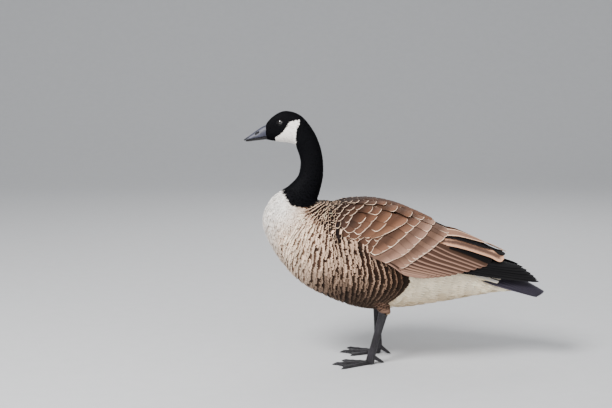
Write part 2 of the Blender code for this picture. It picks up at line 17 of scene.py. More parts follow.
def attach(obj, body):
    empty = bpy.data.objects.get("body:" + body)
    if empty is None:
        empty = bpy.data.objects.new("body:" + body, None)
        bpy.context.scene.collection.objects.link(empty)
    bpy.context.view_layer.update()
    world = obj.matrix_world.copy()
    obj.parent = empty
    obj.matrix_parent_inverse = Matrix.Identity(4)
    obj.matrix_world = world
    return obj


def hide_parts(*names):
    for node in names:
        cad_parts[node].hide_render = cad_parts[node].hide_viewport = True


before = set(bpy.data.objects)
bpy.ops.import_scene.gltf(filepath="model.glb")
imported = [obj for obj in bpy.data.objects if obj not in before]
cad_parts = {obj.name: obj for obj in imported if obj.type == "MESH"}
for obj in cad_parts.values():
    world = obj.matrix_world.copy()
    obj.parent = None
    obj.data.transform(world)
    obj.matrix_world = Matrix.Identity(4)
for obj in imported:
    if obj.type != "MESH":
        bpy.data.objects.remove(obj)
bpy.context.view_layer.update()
rng = np.random.default_rng(7)

LEFT, RIGHT = -1, 1
SIDE_NAMES = {LEFT: "left", RIGHT: "right"}
UP = np.array((0.0, 0.0, 1.0))
ACROSS = np.array((0.0, 1.0, 0.0))
MOST_TRIANGLES = 190000

# The floor, which curves up into a wall far behind, and the sky. Each light: name, power, size, place and aim
STAGE_FRONT, STAGE_DEPTH, STAGE_CURVE, STAGE_HEIGHT, STAGE_WIDTH = -6.0, 3.0, 3.0, 8.0, 9.0
FLOOR_GREYS = ((0.44, 0.44, 0.445, 1), (0.48, 0.48, 0.485, 1))
SKY_COLOUR, SKY_STRENGTH = (0.88, 0.91, 0.95, 1), 0.82
LIGHTS = (
    ("key", 210, 1.2, (-1.5, -1.7, 2.5), (-0.05, 0.0, 0.25)),
    ("fill", 30, 2.0, (1.8, -1.8, 1.0), (0.0, 0.0, 0.25)),
    ("rim", 24, 1.4, (0.4, 1.9, 1.9), (0.0, 0.0, 0.3)),
)

# The camera stands where the photo's did
CAMERA_PLACE = (-0.195, -2.84, 0.743)
CAMERA_TILT = math.radians(82.03)
CAMERA_LENS = 77.35

# The trunk. Each row: back x and z, belly x and z, half width, share of the depth above the widest point
TRUNK_FULLNESS = 2.15
TRUNK = {
    "face": (-0.281, 0.520, -0.281, 0.487, 0.0125, 0.55),
    "brow": (-0.270, 0.533, -0.270, 0.485, 0.0155, 0.56),
    "eye": (-0.252, 0.545, -0.251, 0.482, 0.0178, 0.57),
    "crown": (-0.234, 0.548, -0.235, 0.4805, 0.0195, 0.56),
    "nape": (-0.211, 0.541, -0.2195, 0.4765, 0.0205, 0.54),
    "throat": (-0.194, 0.526, -0.2145, 0.467, 0.0213, 0.52),
    "neck_top": (-0.173, 0.494, -0.208, 0.447, 0.0222, 0.50),
    "neck_middle": (-0.160, 0.453, -0.207, 0.429, 0.0235, 0.50),
    "neck_base": (-0.158, 0.409, -0.213, 0.406, 0.0260, 0.50),
    "neck_root": (-0.166, 0.370, -0.233, 0.385, 0.0300, 0.50),
    "collar": (-0.170, 0.356, -0.247, 0.376, 0.0345, 0.50),
    "crop": (-0.161, 0.348, -0.273, 0.354, 0.0470, 0.50),
    "breast": (-0.144, 0.349, -0.290, 0.312, 0.0610, 0.50),
    "breastbone": (-0.124, 0.350, -0.277, 0.264, 0.0735, 0.50),
    "shoulder": (-0.097, 0.352, -0.239, 0.206, 0.0860, 0.50),
    "mantle": (-0.062, 0.353, -0.184, 0.160, 0.0950, 0.52),
    "back": (-0.010, 0.344, -0.080, 0.119, 0.0960, 0.54),
    "loin": (0.050, 0.318, 0.017, 0.119, 0.0860, 0.54),
    "rump": (0.113, 0.276, 0.110, 0.132, 0.0640, 0.52),
    "vent": (0.172, 0.218, 0.170, 0.1425, 0.0430, 0.50),
    "coverts": (0.224, 0.184, 0.226, 0.1520, 0.0320, 0.50),
    "trunk_end": (0.271, 0.163, 0.271, 0.1545, 0.0180, 0.50),
}
TRUNK_RINGS, TRUNK_SIDES, TRUNK_FINE_STEPS = 420, 144, 2000
SKIN_RINGS, SKIN_SIDES = 210, 72
# The trunk's left side, as a share of the way round
SIDE = 0.25
# How far the skin lies under the feathers' outline, at the trunk's named rows
SKIN_DEPTHS = {
    "face": 0.0006, "crown": 0.0012, "throat": 0.0022, "neck_root": 0.0035, "breast": 0.0060, "back": 0.0070,
    "trunk_end": 0.0030,
}
# Feathers of the head and the neck. Each: from which row to which, with a distance along from it, then the
# rows' spacing, the feathers' width and length at named rows, how far their tips rise and how unevenly they
# end
SHORT_COATS = {
    "head": (
        ("face", 0.004), ("throat", 0.0), {"face": 0.0017, "crown": 0.0024, "throat": 0.0032},
        {"face": 0.0017, "crown": 0.0024, "throat": 0.0032},
        {"face": 0.0040, "crown": 0.0060, "throat": 0.0085},
        0.0, 0.2,
    ),
    "neck": (
        ("throat", 0.0), ("collar", 0.035), {"throat": 0.0034, "neck_base": 0.0044, "crop": 0.0052},
        {"throat": 0.0030, "crop": 0.0046}, {"throat": 0.0090, "neck_base": 0.0120, "crop": 0.0150},
        0.0002, 0.25,
    ),
}
# Feathers side by side lie this share of their width apart, and each is this much wider and longer than shows
PITCH = 0.52
# How feathers vary at random on the head and neck, the body and the wing: places as a share of their spacing,
# tips in metres, turns in degrees, and sizes, tones and rims as a share of the usual ones
SHORT_SIZES, SHORT_VARIES, SHORT_SHADES, SHORT_RIM = (0.55, 1.25), (0.9, 1.12), 0.045, 0.3
BODY_SHIFT, BODY_VARIES, BODY_SHADES, BODY_RIMS = 0.22, (0.93, 1.1), 0.09, (0.5, 1.45)
WING_SHIFT, WING_TIPS, WING_TURNS = 0.08, 0.0008, 1.2
WING_VARIES, WING_SHADES, WING_RIMS, STEEPEST_SLANT = (0.96, 1.04), 0.06, (0.6, 0.95), 0.8
SCAPULAR_SPREAD, RIDGE_VARIES = -12, 0.05
BODY_WIDER, BODY_LONGER = 1.75, 2.3
BODY_WIDTHS, BODY_LENGTHS, BODY_FRINGES = (0.0075, 0.0210), (0.011, 0.040), (0.003, 0.018)
COAT_LIFT, BODY_LIFT, MANTLE_RIM = 0.0004, 0.0006, 0.0007
ROW_STEP = 0.0012

# The wing's outer face. Each row: x, top y and z, low y and z, bulge of the middle
WING = (
    (-0.148, 0.050, 0.335, 0.070, 0.300, 0.003),
    (-0.125, 0.038, 0.348, 0.083, 0.284, 0.011),
    (-0.095, 0.026, 0.356, 0.093, 0.268, 0.020),
    (-0.055, 0.011, 0.3585, 0.101, 0.255, 0.027),
    (-0.010, 0.005, 0.351, 0.105, 0.236, 0.030),
    (0.030, 0.003, 0.336, 0.101, 0.207, 0.033),
    (0.085, 0.0015, 0.311, 0.088, 0.203, 0.028),
    (0.135, 0.0015, 0.286, 0.068, 0.209, 0.021),
    (0.180, 0.0015, 0.264, 0.050, 0.211, 0.014),
    (0.218, 0.004, 0.242, 0.036, 0.219, 0.007),
)
WING_GRID = (160, 60)
OVER_BACK = 12
# Feathers over the back: how far they go along the wing, how many in a row, and the rows' places across it
RIDGE_REACH = (0.05, 0.60)
RIDGE_COUNT = 11
RIDGE_PLACES = (0.212, 0.185, 0.160)
RIDGE_LENGTHS, RIDGE_WIDTHS = (0.028, 0.026), (0.017, 0.011)
# Ridge feathers and their rims darkened by these shares: painted shade on the top of the back, where light
# falls
RIDGE_SHADE, RIDGE_RIM, RIDGE_RIM_SHADE, RIDGE_LIFT = 0.82, 0.0009, 0.88, 0.0006
WING_ROOT_DEPTH = 0.003
WING_SKIN_UNDER, WING_SKIN_DEPTH = 0.0060, 0.006
WING_SKIN_GRID, WING_SKIN_ACROSS = (60, 24), (0.16, 0.985)
# Rows of the wing's small feathers. Each: how many, length, half width, degrees below level, how far the
# tips rise, width of the pale rim, and the line through the tips from its low end, as x and z in millimetres
SCAPULARS = (
    (4, 0.024, 0.0085, 45, 0.0016, 0.0011, ((-148, 330), (-135, 345), (-119, 355))),
    (6, 0.026, 0.0088, 45, 0.0018, 0.0011, ((-148, 318), (-132, 338), (-120, 347), (-105, 357))),
    (6, 0.029, 0.0100, 44, 0.0020, 0.0012, ((-147, 306), (-126, 325), (-113, 341), (-92, 357))),
    (6, 0.034, 0.0112, 43, 0.0022, 0.0013, ((-141, 297), (-119, 319), (-104, 333), (-76, 358))),
    (6, 0.039, 0.0128, 42, 0.0022, 0.0014, ((-124, 296), (-107, 309), (-97, 327), (-58, 357))),
    (6, 0.044, 0.0142, 40, 0.0022, 0.0014, ((-111, 285), (-92, 300), (-79, 310), (-40, 356))),
    (6, 0.049, 0.0150, 38, 0.0024, 0.0015, ((-88, 284), (-67, 303), (-54, 317), (-20, 352))),
    (4, 0.056, 0.0189, 36, 0.0026, 0.0018, ((-56, 288), (-30, 308), (-18, 322), (8, 344))),
    (4, 0.066, 0.0209, 33, 0.0028, 0.0018, ((-40, 288), (-10, 300), (18, 313), (40, 332))),
)
SMALL_COVERTS = (
    (3, 0.027, 0.0100, 48, 0.0012, 0.0012, ((-120, 281), (-112, 289), (-103, 297))),
    (3, 0.028, 0.0108, 46, 0.0010, 0.0013, ((-112, 272), (-102, 283), (-90, 292))),
    (3, 0.028, 0.0108, 46, 0.0010, 0.0013, ((-91, 267), (-83, 278), (-70, 290))),
    (3, 0.030, 0.0115, 45, 0.0010, 0.0014, ((-71, 263), (-63, 276), (-52, 287))),
    (3, 0.032, 0.0115, 43, 0.0010, 0.0014, ((-53, 259), (-45, 275), (-33, 288))),
)
COVERTS = (
    (7, 0.052, 0.0169, 36, 0.0016, 0.0018, ((-36, 255), (-9, 270), (20, 292), (66, 320))),
    (8, 0.056, 0.0155, 32, 0.0014, 0.0018, ((-12, 240), (16, 253), (45, 275), (88, 309))),
    (11, 0.064, 0.0132, 27, 0.0012, 0.0018, ((16, 225), (46, 244), (75, 261), (120, 290))),
)
SECONDARIES = (12, 0.135, 0.0095, 17, 0.0004, 0.0, ((0.062, 0.2062), (0.124, 0.2078), (0.200, 0.2205)))
SECONDARY_SPREAD = 14
# How far a secondary rises towards the wing's top and sinks towards its root, and how its sides bend and lean
SECONDARY_RISE, SECONDARY_SUNK, SECONDARY_BEND, SECONDARY_LEAN = 0.0025, 0.004, 0.2, 0.0009
# Each row: root x and z, tip x and z, half width, widths along it, colour, and its rim's colour and width
# The first and third are near black: painted shade under the pale tertials over them, with their own dark
# centres
TERTIALS = (
    (0.060, 0.2830, 0.206, 0.2260, 0.0115, "blunt", (10, 8, 8), (36, 28, 25), 0.0006),
    (0.070, 0.2830, 0.2333, 0.227, 0.0130, "blunt", (88, 66, 56), (198, 150, 120), 0.0065),
    (0.082, 0.2905, 0.236, 0.233, 0.0115, "blunt", (12, 9, 10), (52, 41, 38), 0.0008),
    (0.070, 0.3010, 0.240, 0.236, 0.0140, "tapered", (136, 101, 82), (222, 182, 152), 0.0030),
)
FAR_TERTIAL_EXTRA = (0.011, -0.006)
TERTIAL_LIFT, TERTIAL_STEP, TERTIAL_SUNK, TERTIAL_RISE = 0.0022, 0.0013, 0.0055, (0.085, 0.135)
TERTIAL_BEND, TERTIAL_LEAN = 0.15, 0.0008
# Each row: root x, y and z, and tip x, y and z
PRIMARIES = (
    ((0.118, -0.064, 0.210), (0.303, -0.024, 0.1790)),
    ((0.120, -0.063, 0.213), (0.3135, -0.020, 0.1765)),
    ((0.122, -0.060, 0.217), (0.3090, -0.019, 0.1810)),
    ((0.123, -0.057, 0.221), (0.3020, -0.018, 0.1865)),
    ((0.124, -0.055, 0.224), (0.2945, -0.018, 0.1925)),
    ((0.125, -0.053, 0.227), (0.2850, -0.018, 0.1990)),
    ((0.126, -0.051, 0.230), (0.2740, -0.018, 0.2055)),
)
PRIMARY_HALF_WIDTH, PRIMARY_STEP, PRIMARY_BEND = 0.0105, 0.0007, 0.06
THIN_RIM = 0.0006
LONG_FEATHER_SAG = 0.004
LONG_FEATHER_LEAN = math.radians(38)

TAIL_FEATHERS = 18
TAIL_ROOT = np.array((0.172, 0.0, 0.224))
TAIL_TIP = np.array((0.328, 0.0, 0.1505))
TAIL_ARCH = 0.0045
TAIL_ROOT_OUTSIDE = np.array((-0.005, 0.036, -0.0265))
TAIL_TIP_OUTSIDE = np.array((-0.0185, 0.031, -0.002))
TAIL_ROLL = math.radians(48)
TAIL_HALF_WIDTH, TAIL_BEND = 0.0120, 0.08
# How far each tail feather lies over the one below, and the lowest under the tail's own line
TAIL_STEP, TAIL_LOWEST = 0.00022, 0.0022
# White feathers over the tail's root. Each row: where along the tail it starts and ends, and how high it lies
TAIL_COVERTS = ((-0.10, 0.38, 0.0030), (-0.14, 0.28, 0.0042), (-0.18, 0.18, 0.0052))
TAIL_COVERT_COUNT, TAIL_COVERT_WIDTH, TAIL_COVERT_BEND, TAIL_COVERT_RIM = 13, 0.0078, 0.05, 0.002

# Each leg: hock x, foot joint x and lateral place
LEGS = {LEFT: (-0.0235, -0.0525, 0.050), RIGHT: (-0.035, -0.033, 0.048)}
SHANK_TOP = 0.1165
ANKLE_TOP = 0.022
THIGH_TOP = (-0.030, 0.045, 0.175)
SHANK = (
    (0.00, 0.0098, 0.0080),
    (0.09, 0.0114, 0.0090),
    (0.24, 0.0097, 0.0073),
    (0.50, 0.0086, 0.0065),
    (0.80, 0.0083, 0.0064),
    (1.00, 0.0092, 0.0077),
)
ANKLE_END = np.array((-0.004, 0, 0.0012))
ANKLE = ((0, 0.0088, 0.0074), (0.45, 0.0096, 0.0082), (1, 0.0098, 0.0086))
THIGH = ((0.00, 0.0290, 0.0220), (0.40, 0.0250, 0.0190), (0.72, 0.0170, 0.0130), (1.00, 0.0110, 0.0092))
THIGH_SKIN_UNDER = 0.0012
# The thigh's rows of feathers from where to where and how many, the feathers in each, and their length,
# width, rim and rise
THIGH_ROWS, THIGH_COUNT, THIGH_FEATHER, THIGH_RIM = (0.30, 1.05, 22), 34, (0.013, 0.0048), 0.0026
THIGH_RISE = (0.0014, 0.0006)
THIGH_SHIFT, THIGH_TIPS, THIGH_SHADES, THIGH_SHADE_LIMITS = 0.3, 0.022, 0.3, (0.4, 1.6)
# Toes: length without claw, degrees outwards, half width, height
TOES = {
    "inner": (0.060, -29, 0.0046, 0.0082),
    "middle": (0.076, -1, 0.0052, 0.0092),
    "outer": (0.071, 29, 0.0048, 0.0085),
}
TOE_TAPER = 0.62
KNUCKLES, KNUCKLE_LENGTH, KNUCKLE_SWELL = (0.38, 0.68, 0.93), 0.05, 0.10
FOOT_TURN_OUT = {LEFT: math.radians(6), RIGHT: math.radians(3)}
WEB_HEIGHT, WEB_THICK, WEB_NOTCH, WEB_FOLD, WEB_SLOPE = 0.0013, 0.0016, 0.90, 0.0007, 0.0018
HALLUX_WAY = (0.93, 0.36)
HALLUX_LENGTH = 0.017
HALLUX_START, HALLUX_END_HEIGHT = (0.006, 0.0150), 0.0045
HALLUX_HALF_WIDTH = 0.0040
CLAW_LENGTH = 0.0085
# How late a claw narrows, its tip's size and the tip's height, as shares of its radius
CLAW_POWER, CLAW_POINT, CLAW_END = 1.8, 0.08, 0.30
LEG_VOXEL = 0.0009

# The bill: x, top z, bottom z and half width
UPPER_BILL = (
    (-0.2790, 0.5190, 0.4940, 0.0113),
    (-0.2900, 0.5140, 0.4930, 0.0108),
    (-0.3000, 0.5075, 0.4915, 0.0102),
    (-0.3110, 0.4995, 0.4893, 0.0094),
    (-0.3200, 0.4930, 0.4872, 0.0084),
    (-0.3265, 0.4885, 0.4852, 0.0064),
    (-0.3294, 0.4864, 0.4843, 0.0030),
)
LOWER_BILL = (
    (-0.2790, 0.4935, 0.4868, 0.0100),
    (-0.2950, 0.4918, 0.4850, 0.0094),
    (-0.3080, 0.4894, 0.4835, 0.0085),
    (-0.3190, 0.4868, 0.4822, 0.0072),
    (-0.3255, 0.4848, 0.4822, 0.0050),
)
NOSTRIL = (-0.3005, 0.5008, math.radians(33))
NOSTRIL_SIZE, NOSTRIL_DEPTH = (0.0056, 0.0019), 0.0026
GROOVE_SIZE, GROOVE_DEPTH = (0.0085, 0.0035), 0.0007
BILL_FLAT = 0.05
NAIL_START, NAIL_HALF_WIDTH, NAIL_HEIGHT, NAIL_LOW = (0.3205, 0.3222), 0.0058, 0.00025, 0.4868
EYE_PLACE = (-0.2500, 0.0112, 0.5245)
EYE_RADIUS = 0.0070
# The lids' ring: its radius and place outwards, and how thick it is at its sides
LID_REACH, LID_OUT, LID_RADIUS = 0.0052, 0.0048, 0.0011

# Colours as they look in daylight, 0 to 255
BLACK = (3, 3, 4)
# The black feathers' tips are a little paler: a painted sheen
BLACK_SHEEN_EDGE = (10, 10, 13)
CHEEK = (244, 236, 226)
CHEEK_EDGE = (250, 244, 236)
WHITE = (246, 240, 231)
VENT = (240, 223, 193)
VENT_EDGE = (248, 236, 212)
# The vent's colour at its bottom, darker and warmer: painted shade under the body
VENT_SHADED = (186, 163, 130)
# The front and side of the body: x, the feathers' colour, the colour of their tips
BODY_TONES = (
    (-0.280, (232, 216, 200), (252, 246, 238)),
    (-0.245, (196, 165, 140), (248, 226, 203)),
    (-0.205, (136, 106, 85), (236, 208, 182)),
    (-0.155, (64, 44, 33), (214, 180, 153)),
    (-0.100, (50, 33, 23), (198, 164, 138)),
    (-0.045, (42, 27, 19), (182, 148, 124)),
    (-0.010, (36, 24, 16), (144, 112, 91)),
    # The last two rows are darker, with dull tips: painted shade at the flank's rear, under the wing
    (0.012, (36, 25, 18), (86, 64, 51)),
    (0.022, (34, 24, 18), (48, 36, 28)),
)
# How much of each feather's showing part is its pale tip, from front to back
TIP_SHARES = (
    (-0.25, 0.58), (-0.20, 0.46), (-0.15, 0.37), (-0.10, 0.29), (-0.06, 0.21), (-0.02, 0.16), (0.03, 0.12),
)
# How unevenly the tips of a row end, from front to back
TIP_JITTER = ((-0.20, 0.20), (-0.10, 0.14), (-0.03, 0.07))
# The flank's bars are made of arcs this wide, and bend by a part of a row that changes from front to back
BAR_WIDTH = 0.030
BAR_STRENGTH = ((-0.20, 0.0), (-0.12, 0.40), (-0.08, 0.34), (-0.04, 0.16), (0.02, 0.10), (0.03, 0.0))
BAR_MIDDLE = 0.64
# Where the body's colours change. Turn is 0 at the middle of the back and 1 at the middle of the belly
LIT_HEIGHT, LIT_FRONT, LIT_TIP = (0.270, 0.345), (0.185, 0.250), (250, 246, 241)
BELLY_TURN, BELLY_X, BELLY_SHARES = (0.50, 0.76), (-0.22, -0.10), (0.1, 1.0)
MANTLE_STEP, MANTLE_HEIGHT = (-0.004, 0.004), (0.277, 0.285)
BACK_TURN, BACK_X = (-0.44, -0.32), (-0.200, -0.184)
VENT_STEP, VENT_SHADE_TURN = (0.002, 0.006), (0.66, 0.94)
RUMP_X, RUMP_TURN, RUMP_END = (0.10, 0.12), (-0.35, -0.25), (0.150, 0.158)
WHITE_LEVEL, DARK_BACK = 150, 0.15
# How far the black neck goes behind the collar: least, how much more and at which turn, and how wide that is
NECK_BORDER = (0.003, 0.024, 0.47, 0.24)
# Where no feather is laid: on the eye, and well under the folded wing
EYE_BARE, EYE_BARE_LONGER = 0.0066, 1.12
HIDDEN_X, HIDDEN_ABOVE, HIDDEN_OUT = (-0.118, 0.13), 0.012, 0.022
# Least distances between rows where the lines run together: mantle, side and white feathers
MANTLE_SPACING, SIDE_SPACING, WHITE_SPACING = 0.0078, 0.0044, 0.0030
MANTLE, MANTLE_EDGE = (22, 12, 7), (240, 200, 168)
SCAPULAR, SCAPULAR_EDGE = (126, 88, 67), (246, 212, 184)
COVERT, COVERT_EDGE = (142, 108, 90), (248, 216, 190)
COVERT_TONES = ((120, 86, 68), (150, 115, 97), COVERT)
LESSER = (84, 58, 44)
# The secondaries are dark with a pale lower web, so each is darker under the one above: their own darker
# inner part and painted shade
SECONDARY, SECONDARY_EDGE = (70, 49, 39), (146, 113, 96)
PRIMARY, PRIMARY_EDGE = (7, 6, 7), (18, 15, 18)
# The tail is coloured grey rather than black: painted light and sheen on a tail that lies in shade
LIT_TAIL_BLACK, TAIL_EDGE = (58, 54, 64), (80, 76, 87)
# The underside's colours, darker and duller than the flank's: painted shade under the body
SHADED_BELLY, SHADED_BELLY_EDGE = (56, 44, 36), (90, 72, 60)
THIGH_BROWN, THIGH_EDGE = (52, 36, 25), (206, 170, 132)
LEG_DARK, LEG_LIGHT, LEG_SEAM = (14, 12, 14), (46, 42, 48), (8, 7, 8)
BILL_DARK, BILL_LIGHT, BILL_BLACK = (26, 26, 34), (58, 59, 74), (8, 8, 9)
PUPIL_BLACK, IRIS = (4, 4, 5), (22, 14, 11)
UNDER_FEATHERS = ((86, 61, 47), (118, 88, 70))
CLAW_HORN = ((12, 11, 12), (30, 28, 30))
EYELID = ((5, 5, 6), (12, 12, 13))

# The feather shader, in centimetres: barbs and clouds of tone, the pale rim's width, the pale lower web, the
# painted shadow at the rim, and the shaft
SEED_SPREAD = 40.0
BARB_SLANT, BARB_LINES, BARB_WANDER = 0.7, 13.0, 2.2
CLOUD_ACROSS, CLOUD_ALONG, CLOUD_SCALE = 4.0, 1.5, 1.3
RIM_WANDER, RIM_LEAST = 0.8, 0.6
WEB_MOST, WEB_FROM_TIP, WEB_AT_TIP = 0.9, 1.6, 0.15
RIM_SHADOW_WIDTH, RIM_SHADOW_SHARE = 0.09, 0.6
SHAFT_WIDTH, SHAFT_HEIGHT = 0.07, 0.6
# Feather materials. Each: name, roughness, shine and relief, then the rim's softness, how much the barbs
# show, how far from the tip a vane darkens with painted shade under the feathers over it and to what share,
# where from its low side the rim's colour begins and fills it, and how far the rim goes up its sides
FEATHER_VALUES = ("Softness", "Barbs", "Shade Reach", "Root Shade", "Side Start", "Side End", "Rim Reach")
NO_SIDE, WHOLE_RIM = (1000.0, 1001.0), 100.0
FEATHER_LOOKS = {
    "soft": ("soft_feathers", 0.75, 0.08, 0.35, 0.6, 0.4, 1.5, 0.45, *NO_SIDE, WHOLE_RIM),
    "down": ("white_feathers", 0.8, 0.2, 0.30, 0.5, 0.25, 2.0, 0.85, *NO_SIDE, WHOLE_RIM),
    "short": ("short_feathers", 0.6, 0.04, 0.30, 0.5, 0.35, 0.8, 0.6, *NO_SIDE, WHOLE_RIM),
    "firm": ("covert_feathers", 0.60, 0.06, 0.30, 0.2, 0.45, 2.3, 0.32, *NO_SIDE, 1.5),
    "secondary": ("secondary_feathers", 0.6, 0.08, 0.30, 0.2, 0.3, 9.0, 0.85, 0.45, 0.10, WHOLE_RIM),
    "tertials": ("tertial_feathers", 0.6, 0.08, 0.30, 0.6, 0.35, 14.0, 0.85, *NO_SIDE, WHOLE_RIM),
    "primaries": ("black_flight_feathers", 0.5, 0.2, 0.30, 0.2, 0.3, 12.0, 0.8, *NO_SIDE, WHOLE_RIM),
}
# Other shaders: depth of mottled relief, the leg's scales, the bill's dark tip, the gape's line and the width
# of the painted shade along it, the pupil
MOTTLE_RELIEF = 0.0006
SCALES_PER_METRE, SCALE_SEAM = 300.0, 0.12
BILL_TIP = (-0.318, -0.327)
GAPE_LINE, GAPE_SHADE_WIDTH = (0.187, 0.5457), (0.0008, 0.0022)
PUPIL = (0.0020, 0.0026)

# White cheek patch, seen from the side: x and z
CHEEK_OUTLINE = (
    (-0.2270, 0.5272), (-0.2068, 0.5290), (-0.2066, 0.5255), (-0.2090, 0.5170), (-0.2125, 0.5095),
    (-0.2145, 0.5030), (-0.2152, 0.4950), (-0.2160, 0.4850), (-0.2165, 0.4700), (-0.2600, 0.4700),
    (-0.2600, 0.4885), (-0.2605, 0.4910), (-0.2520, 0.4970), (-0.2455, 0.5020), (-0.2392, 0.5092),
    (-0.2340, 0.5155), (-0.2308, 0.5208),
)
# Lines that the body's pale bars follow, seen from the side, each from its low end up as x and z in
# millimetres, with the number of rows of feathers between it and the line before. The first rows start at the
# black neck, and the last line is the tail's
BODY_LINES = (
    (9, ((-300, 300), (-287, 317), (-257, 331), (-219, 344), (-178, 370))),
    (6, ((-290, 230), (-274, 265), (-260, 287), (-240, 308), (-219, 325), (-197, 339), (-170, 360))),
    (6, ((-232, 190), (-237, 232), (-232, 263), (-219, 290), (-201, 314), (-181, 336), (-166, 354))),
    (4, ((-213, 180), (-211, 224), (-204, 251), (-196, 282), (-183, 311), (-168, 339), (-162, 352))),
    (3, ((-183, 150), (-183, 210), (-178, 244), (-171, 278), (-163, 311), (-156, 342), (-152, 352))),
    (3, ((-149, 151), (-148, 211), (-147, 245), (-145, 279), (-147, 305), (-148, 330), (-140, 351))),
    (3, ((-122, 140), (-121, 184), (-120, 220), (-121, 255), (-126, 276), (-136, 291), (-120, 352))),
    (2, ((-100, 132), (-98, 168), (-96, 203), (-99, 238), (-105, 265), (-113, 285), (-95, 353))),
    (3, ((-77, 125), (-66, 165), (-62, 212), (-66, 240), (-76, 267), (-60, 353))),
    (3, ((-60, 120), (-41, 146), (-25, 170), (-22, 205), (-30, 233), (-50, 261), (-15, 350))),
    (3, ((-45, 120), (-12, 149), (7, 167), (14, 199), (5, 227), (-18, 251), (30, 342))),
    (1, ((-38, 122), (-6, 148), (13, 165), (28, 190), (29, 207), (17, 229), (60, 330))),
    (2, ((20, 120), (52, 200), (100, 310))),
    (12, ((262, 100), (262, 400))),
)
VENT_LINE = -3
# Where the dark mantle begins behind the pale breast: x and z
MANTLE_FRONT = ((-0.138, 0.286), (-0.147, 0.302), (-0.162, 0.320), (-0.180, 0.336), (-0.198, 0.350))
# The line where the flank's feathers cover the wing's front and lower edge: x and z
WING_RIM = (
    (-0.149, 0.338), (-0.147, 0.291), (-0.117, 0.284), (-0.095, 0.272), (-0.060, 0.2645), (-0.031, 0.257),
    (-0.005, 0.240), (0.021, 0.217), (0.029, 0.203),
)
RIM_SWELL = 0.0075
SWELL_OUTSIDE, SWELL_INSIDE = 0.024, 0.008
SWELL_UPWARDS = 0.35


def linear(colour):
    """A daylight colour as the shaders count it."""
    c = np.asarray(colour, float) / 255
    return np.where(c <= 0.04045, c / 12.92, ((c + 0.055) / 1.055) ** 2.4)


def smooth(value, low, high):
    """0 below low, 1 above high and a soft step between."""
    t = np.clip((value - low) / (high - low), 0, 1)
    return t * t * (3 - 2 * t)


def unit(vectors):
    return vectors / np.maximum(np.linalg.norm(vectors, axis=-1, keepdims=True), 1e-12)


def lengths_along(points):
    """How far along a line of points each lies."""
    return np.concatenate(([0], np.cumsum(np.linalg.norm(np.diff(points, axis=0), axis=1))))


def circle(count):
    """Cosines and sines of evenly spaced angles."""
    angles = np.linspace(0, math.tau, count, endpoint=False)
    return np.cos(angles), np.sin(angles)


def ring_quads(rows, count, closed=False):
    """Quads between neighbouring rings of count points. closed joins the last ring to the first."""
    r, k = np.meshgrid(np.arange(rows if closed else rows - 1), np.arange(count), indexing="ij")
    here, there, after = r * count, (r + 1) % rows * count, (k + 1) % count
    return np.stack((here + k, there + k, there + after, here + after), axis=-1)


def loft_arrays(rings):
    """Points and triangles over rings of equal size, with fans closing both ends."""
    rows, count = rings.shape[:2]
    points = np.concatenate((rings.reshape(-1, 3), rings[:1].mean(axis=1), rings[-1:].mean(axis=1)))
    quads = ring_quads(rows, count)
    sides = np.stack((quads[..., [0, 3, 2]], quads[..., [0, 2, 1]]), axis=1).reshape(-1, 3)
    here, end = np.arange(count), (rows - 1) * count
    after = (here + 1) % count
    first = np.stack((np.full(count, rows * count), after, here), 1)
    last = np.stack((np.full(count, rows * count + 1), end + here, end + after), 1)
    return points, np.concatenate((sides, first, last))


def spline(rows, places):
    """Smooth values between rows at places that count rows from the first."""
    rows = np.asarray(rows, float)
    places = np.atleast_1d(places).astype(float)
    last = len(rows) - 1
    i = np.clip(places.astype(int), 0, last - 1)
    t = (places - i)[:, None]
    before, start, end, after = (rows[np.clip(i + k, 0, last)] for k in (-1, 0, 1, 2))
    curve = (2 * before - 5 * start + 4 * end - after) * t**2 + (3 * start - before - 3 * end + after) * t**3
    return 0.5 * (2 * start + (end - before) * t + curve)


class Surface:
    """A grid of points with its directions, read anywhere. s runs along it and a across or round it."""

    def __init__(self, points, closed_round):
        rows, columns = points.shape[:2]
        self.closed = closed_round
        along = np.gradient(points, axis=0) * (rows - 1)
        if closed_round:
            wide = np.concatenate((points[:, -1:], points, points[:, :1]), axis=1)
            around = (wide[:, 2:] - wide[:, :-2]) / 2 * columns
        else:
            around = np.gradient(points, axis=1) * (columns - 1)
        normals = unit(np.cross(around, along))
        self.grid = np.concatenate((points, normals, along, around), axis=2)

    def at(self, s, a):
        """Points, normals and the vectors of one whole step of s and of a."""
        s, a = np.broadcast_arrays(np.asarray(s, float), np.asarray(a, float))
        rows, columns = self.grid.shape[:2]
        inside_s = np.clip(s, 0, 1)
        r = inside_s * (rows - 1)
        r0 = np.minimum(r.astype(int), rows - 2)
        if self.closed:
            inside_a = a
            c = np.mod(a, 1) * columns
            c0 = np.minimum(c.astype(int), columns - 1)
            c1 = (c0 + 1) % columns
        else:
            inside_a = np.clip(a, 0, 1)
            c = inside_a * (columns - 1)
            c0 = np.minimum(c.astype(int), columns - 2)
            c1 = c0 + 1
        fr, fc = (r - r0)[..., None], (c - c0)[..., None]
        low = self.grid[r0, c0] * (1 - fc) + self.grid[r0, c1] * fc
        high = self.grid[r0 + 1, c0] * (1 - fc) + self.grid[r0 + 1, c1] * fc
        read = low * (1 - fr) + high * fr
        point, normal, along, around = (read[..., k : k + 3] for k in (0, 3, 6, 9))
        point = point + along * (s - inside_s)[..., None] + around * (a - inside_a)[..., None]
        return point, unit(normal), along, around


def in_steps(vectors, along, around):
    """How many steps of s and a make up each vector."""
    ss, sa, aa = (np.sum(p * q, axis=-1) for p, q in ((along, along), (along, around), (around, around)))
    vs, va = np.sum(vectors * along, axis=-1), np.sum(vectors * around, axis=-1)
    size = ss * aa - sa * sa
    return (vs * aa - va * sa) / size, (va * ss - vs * sa) / size


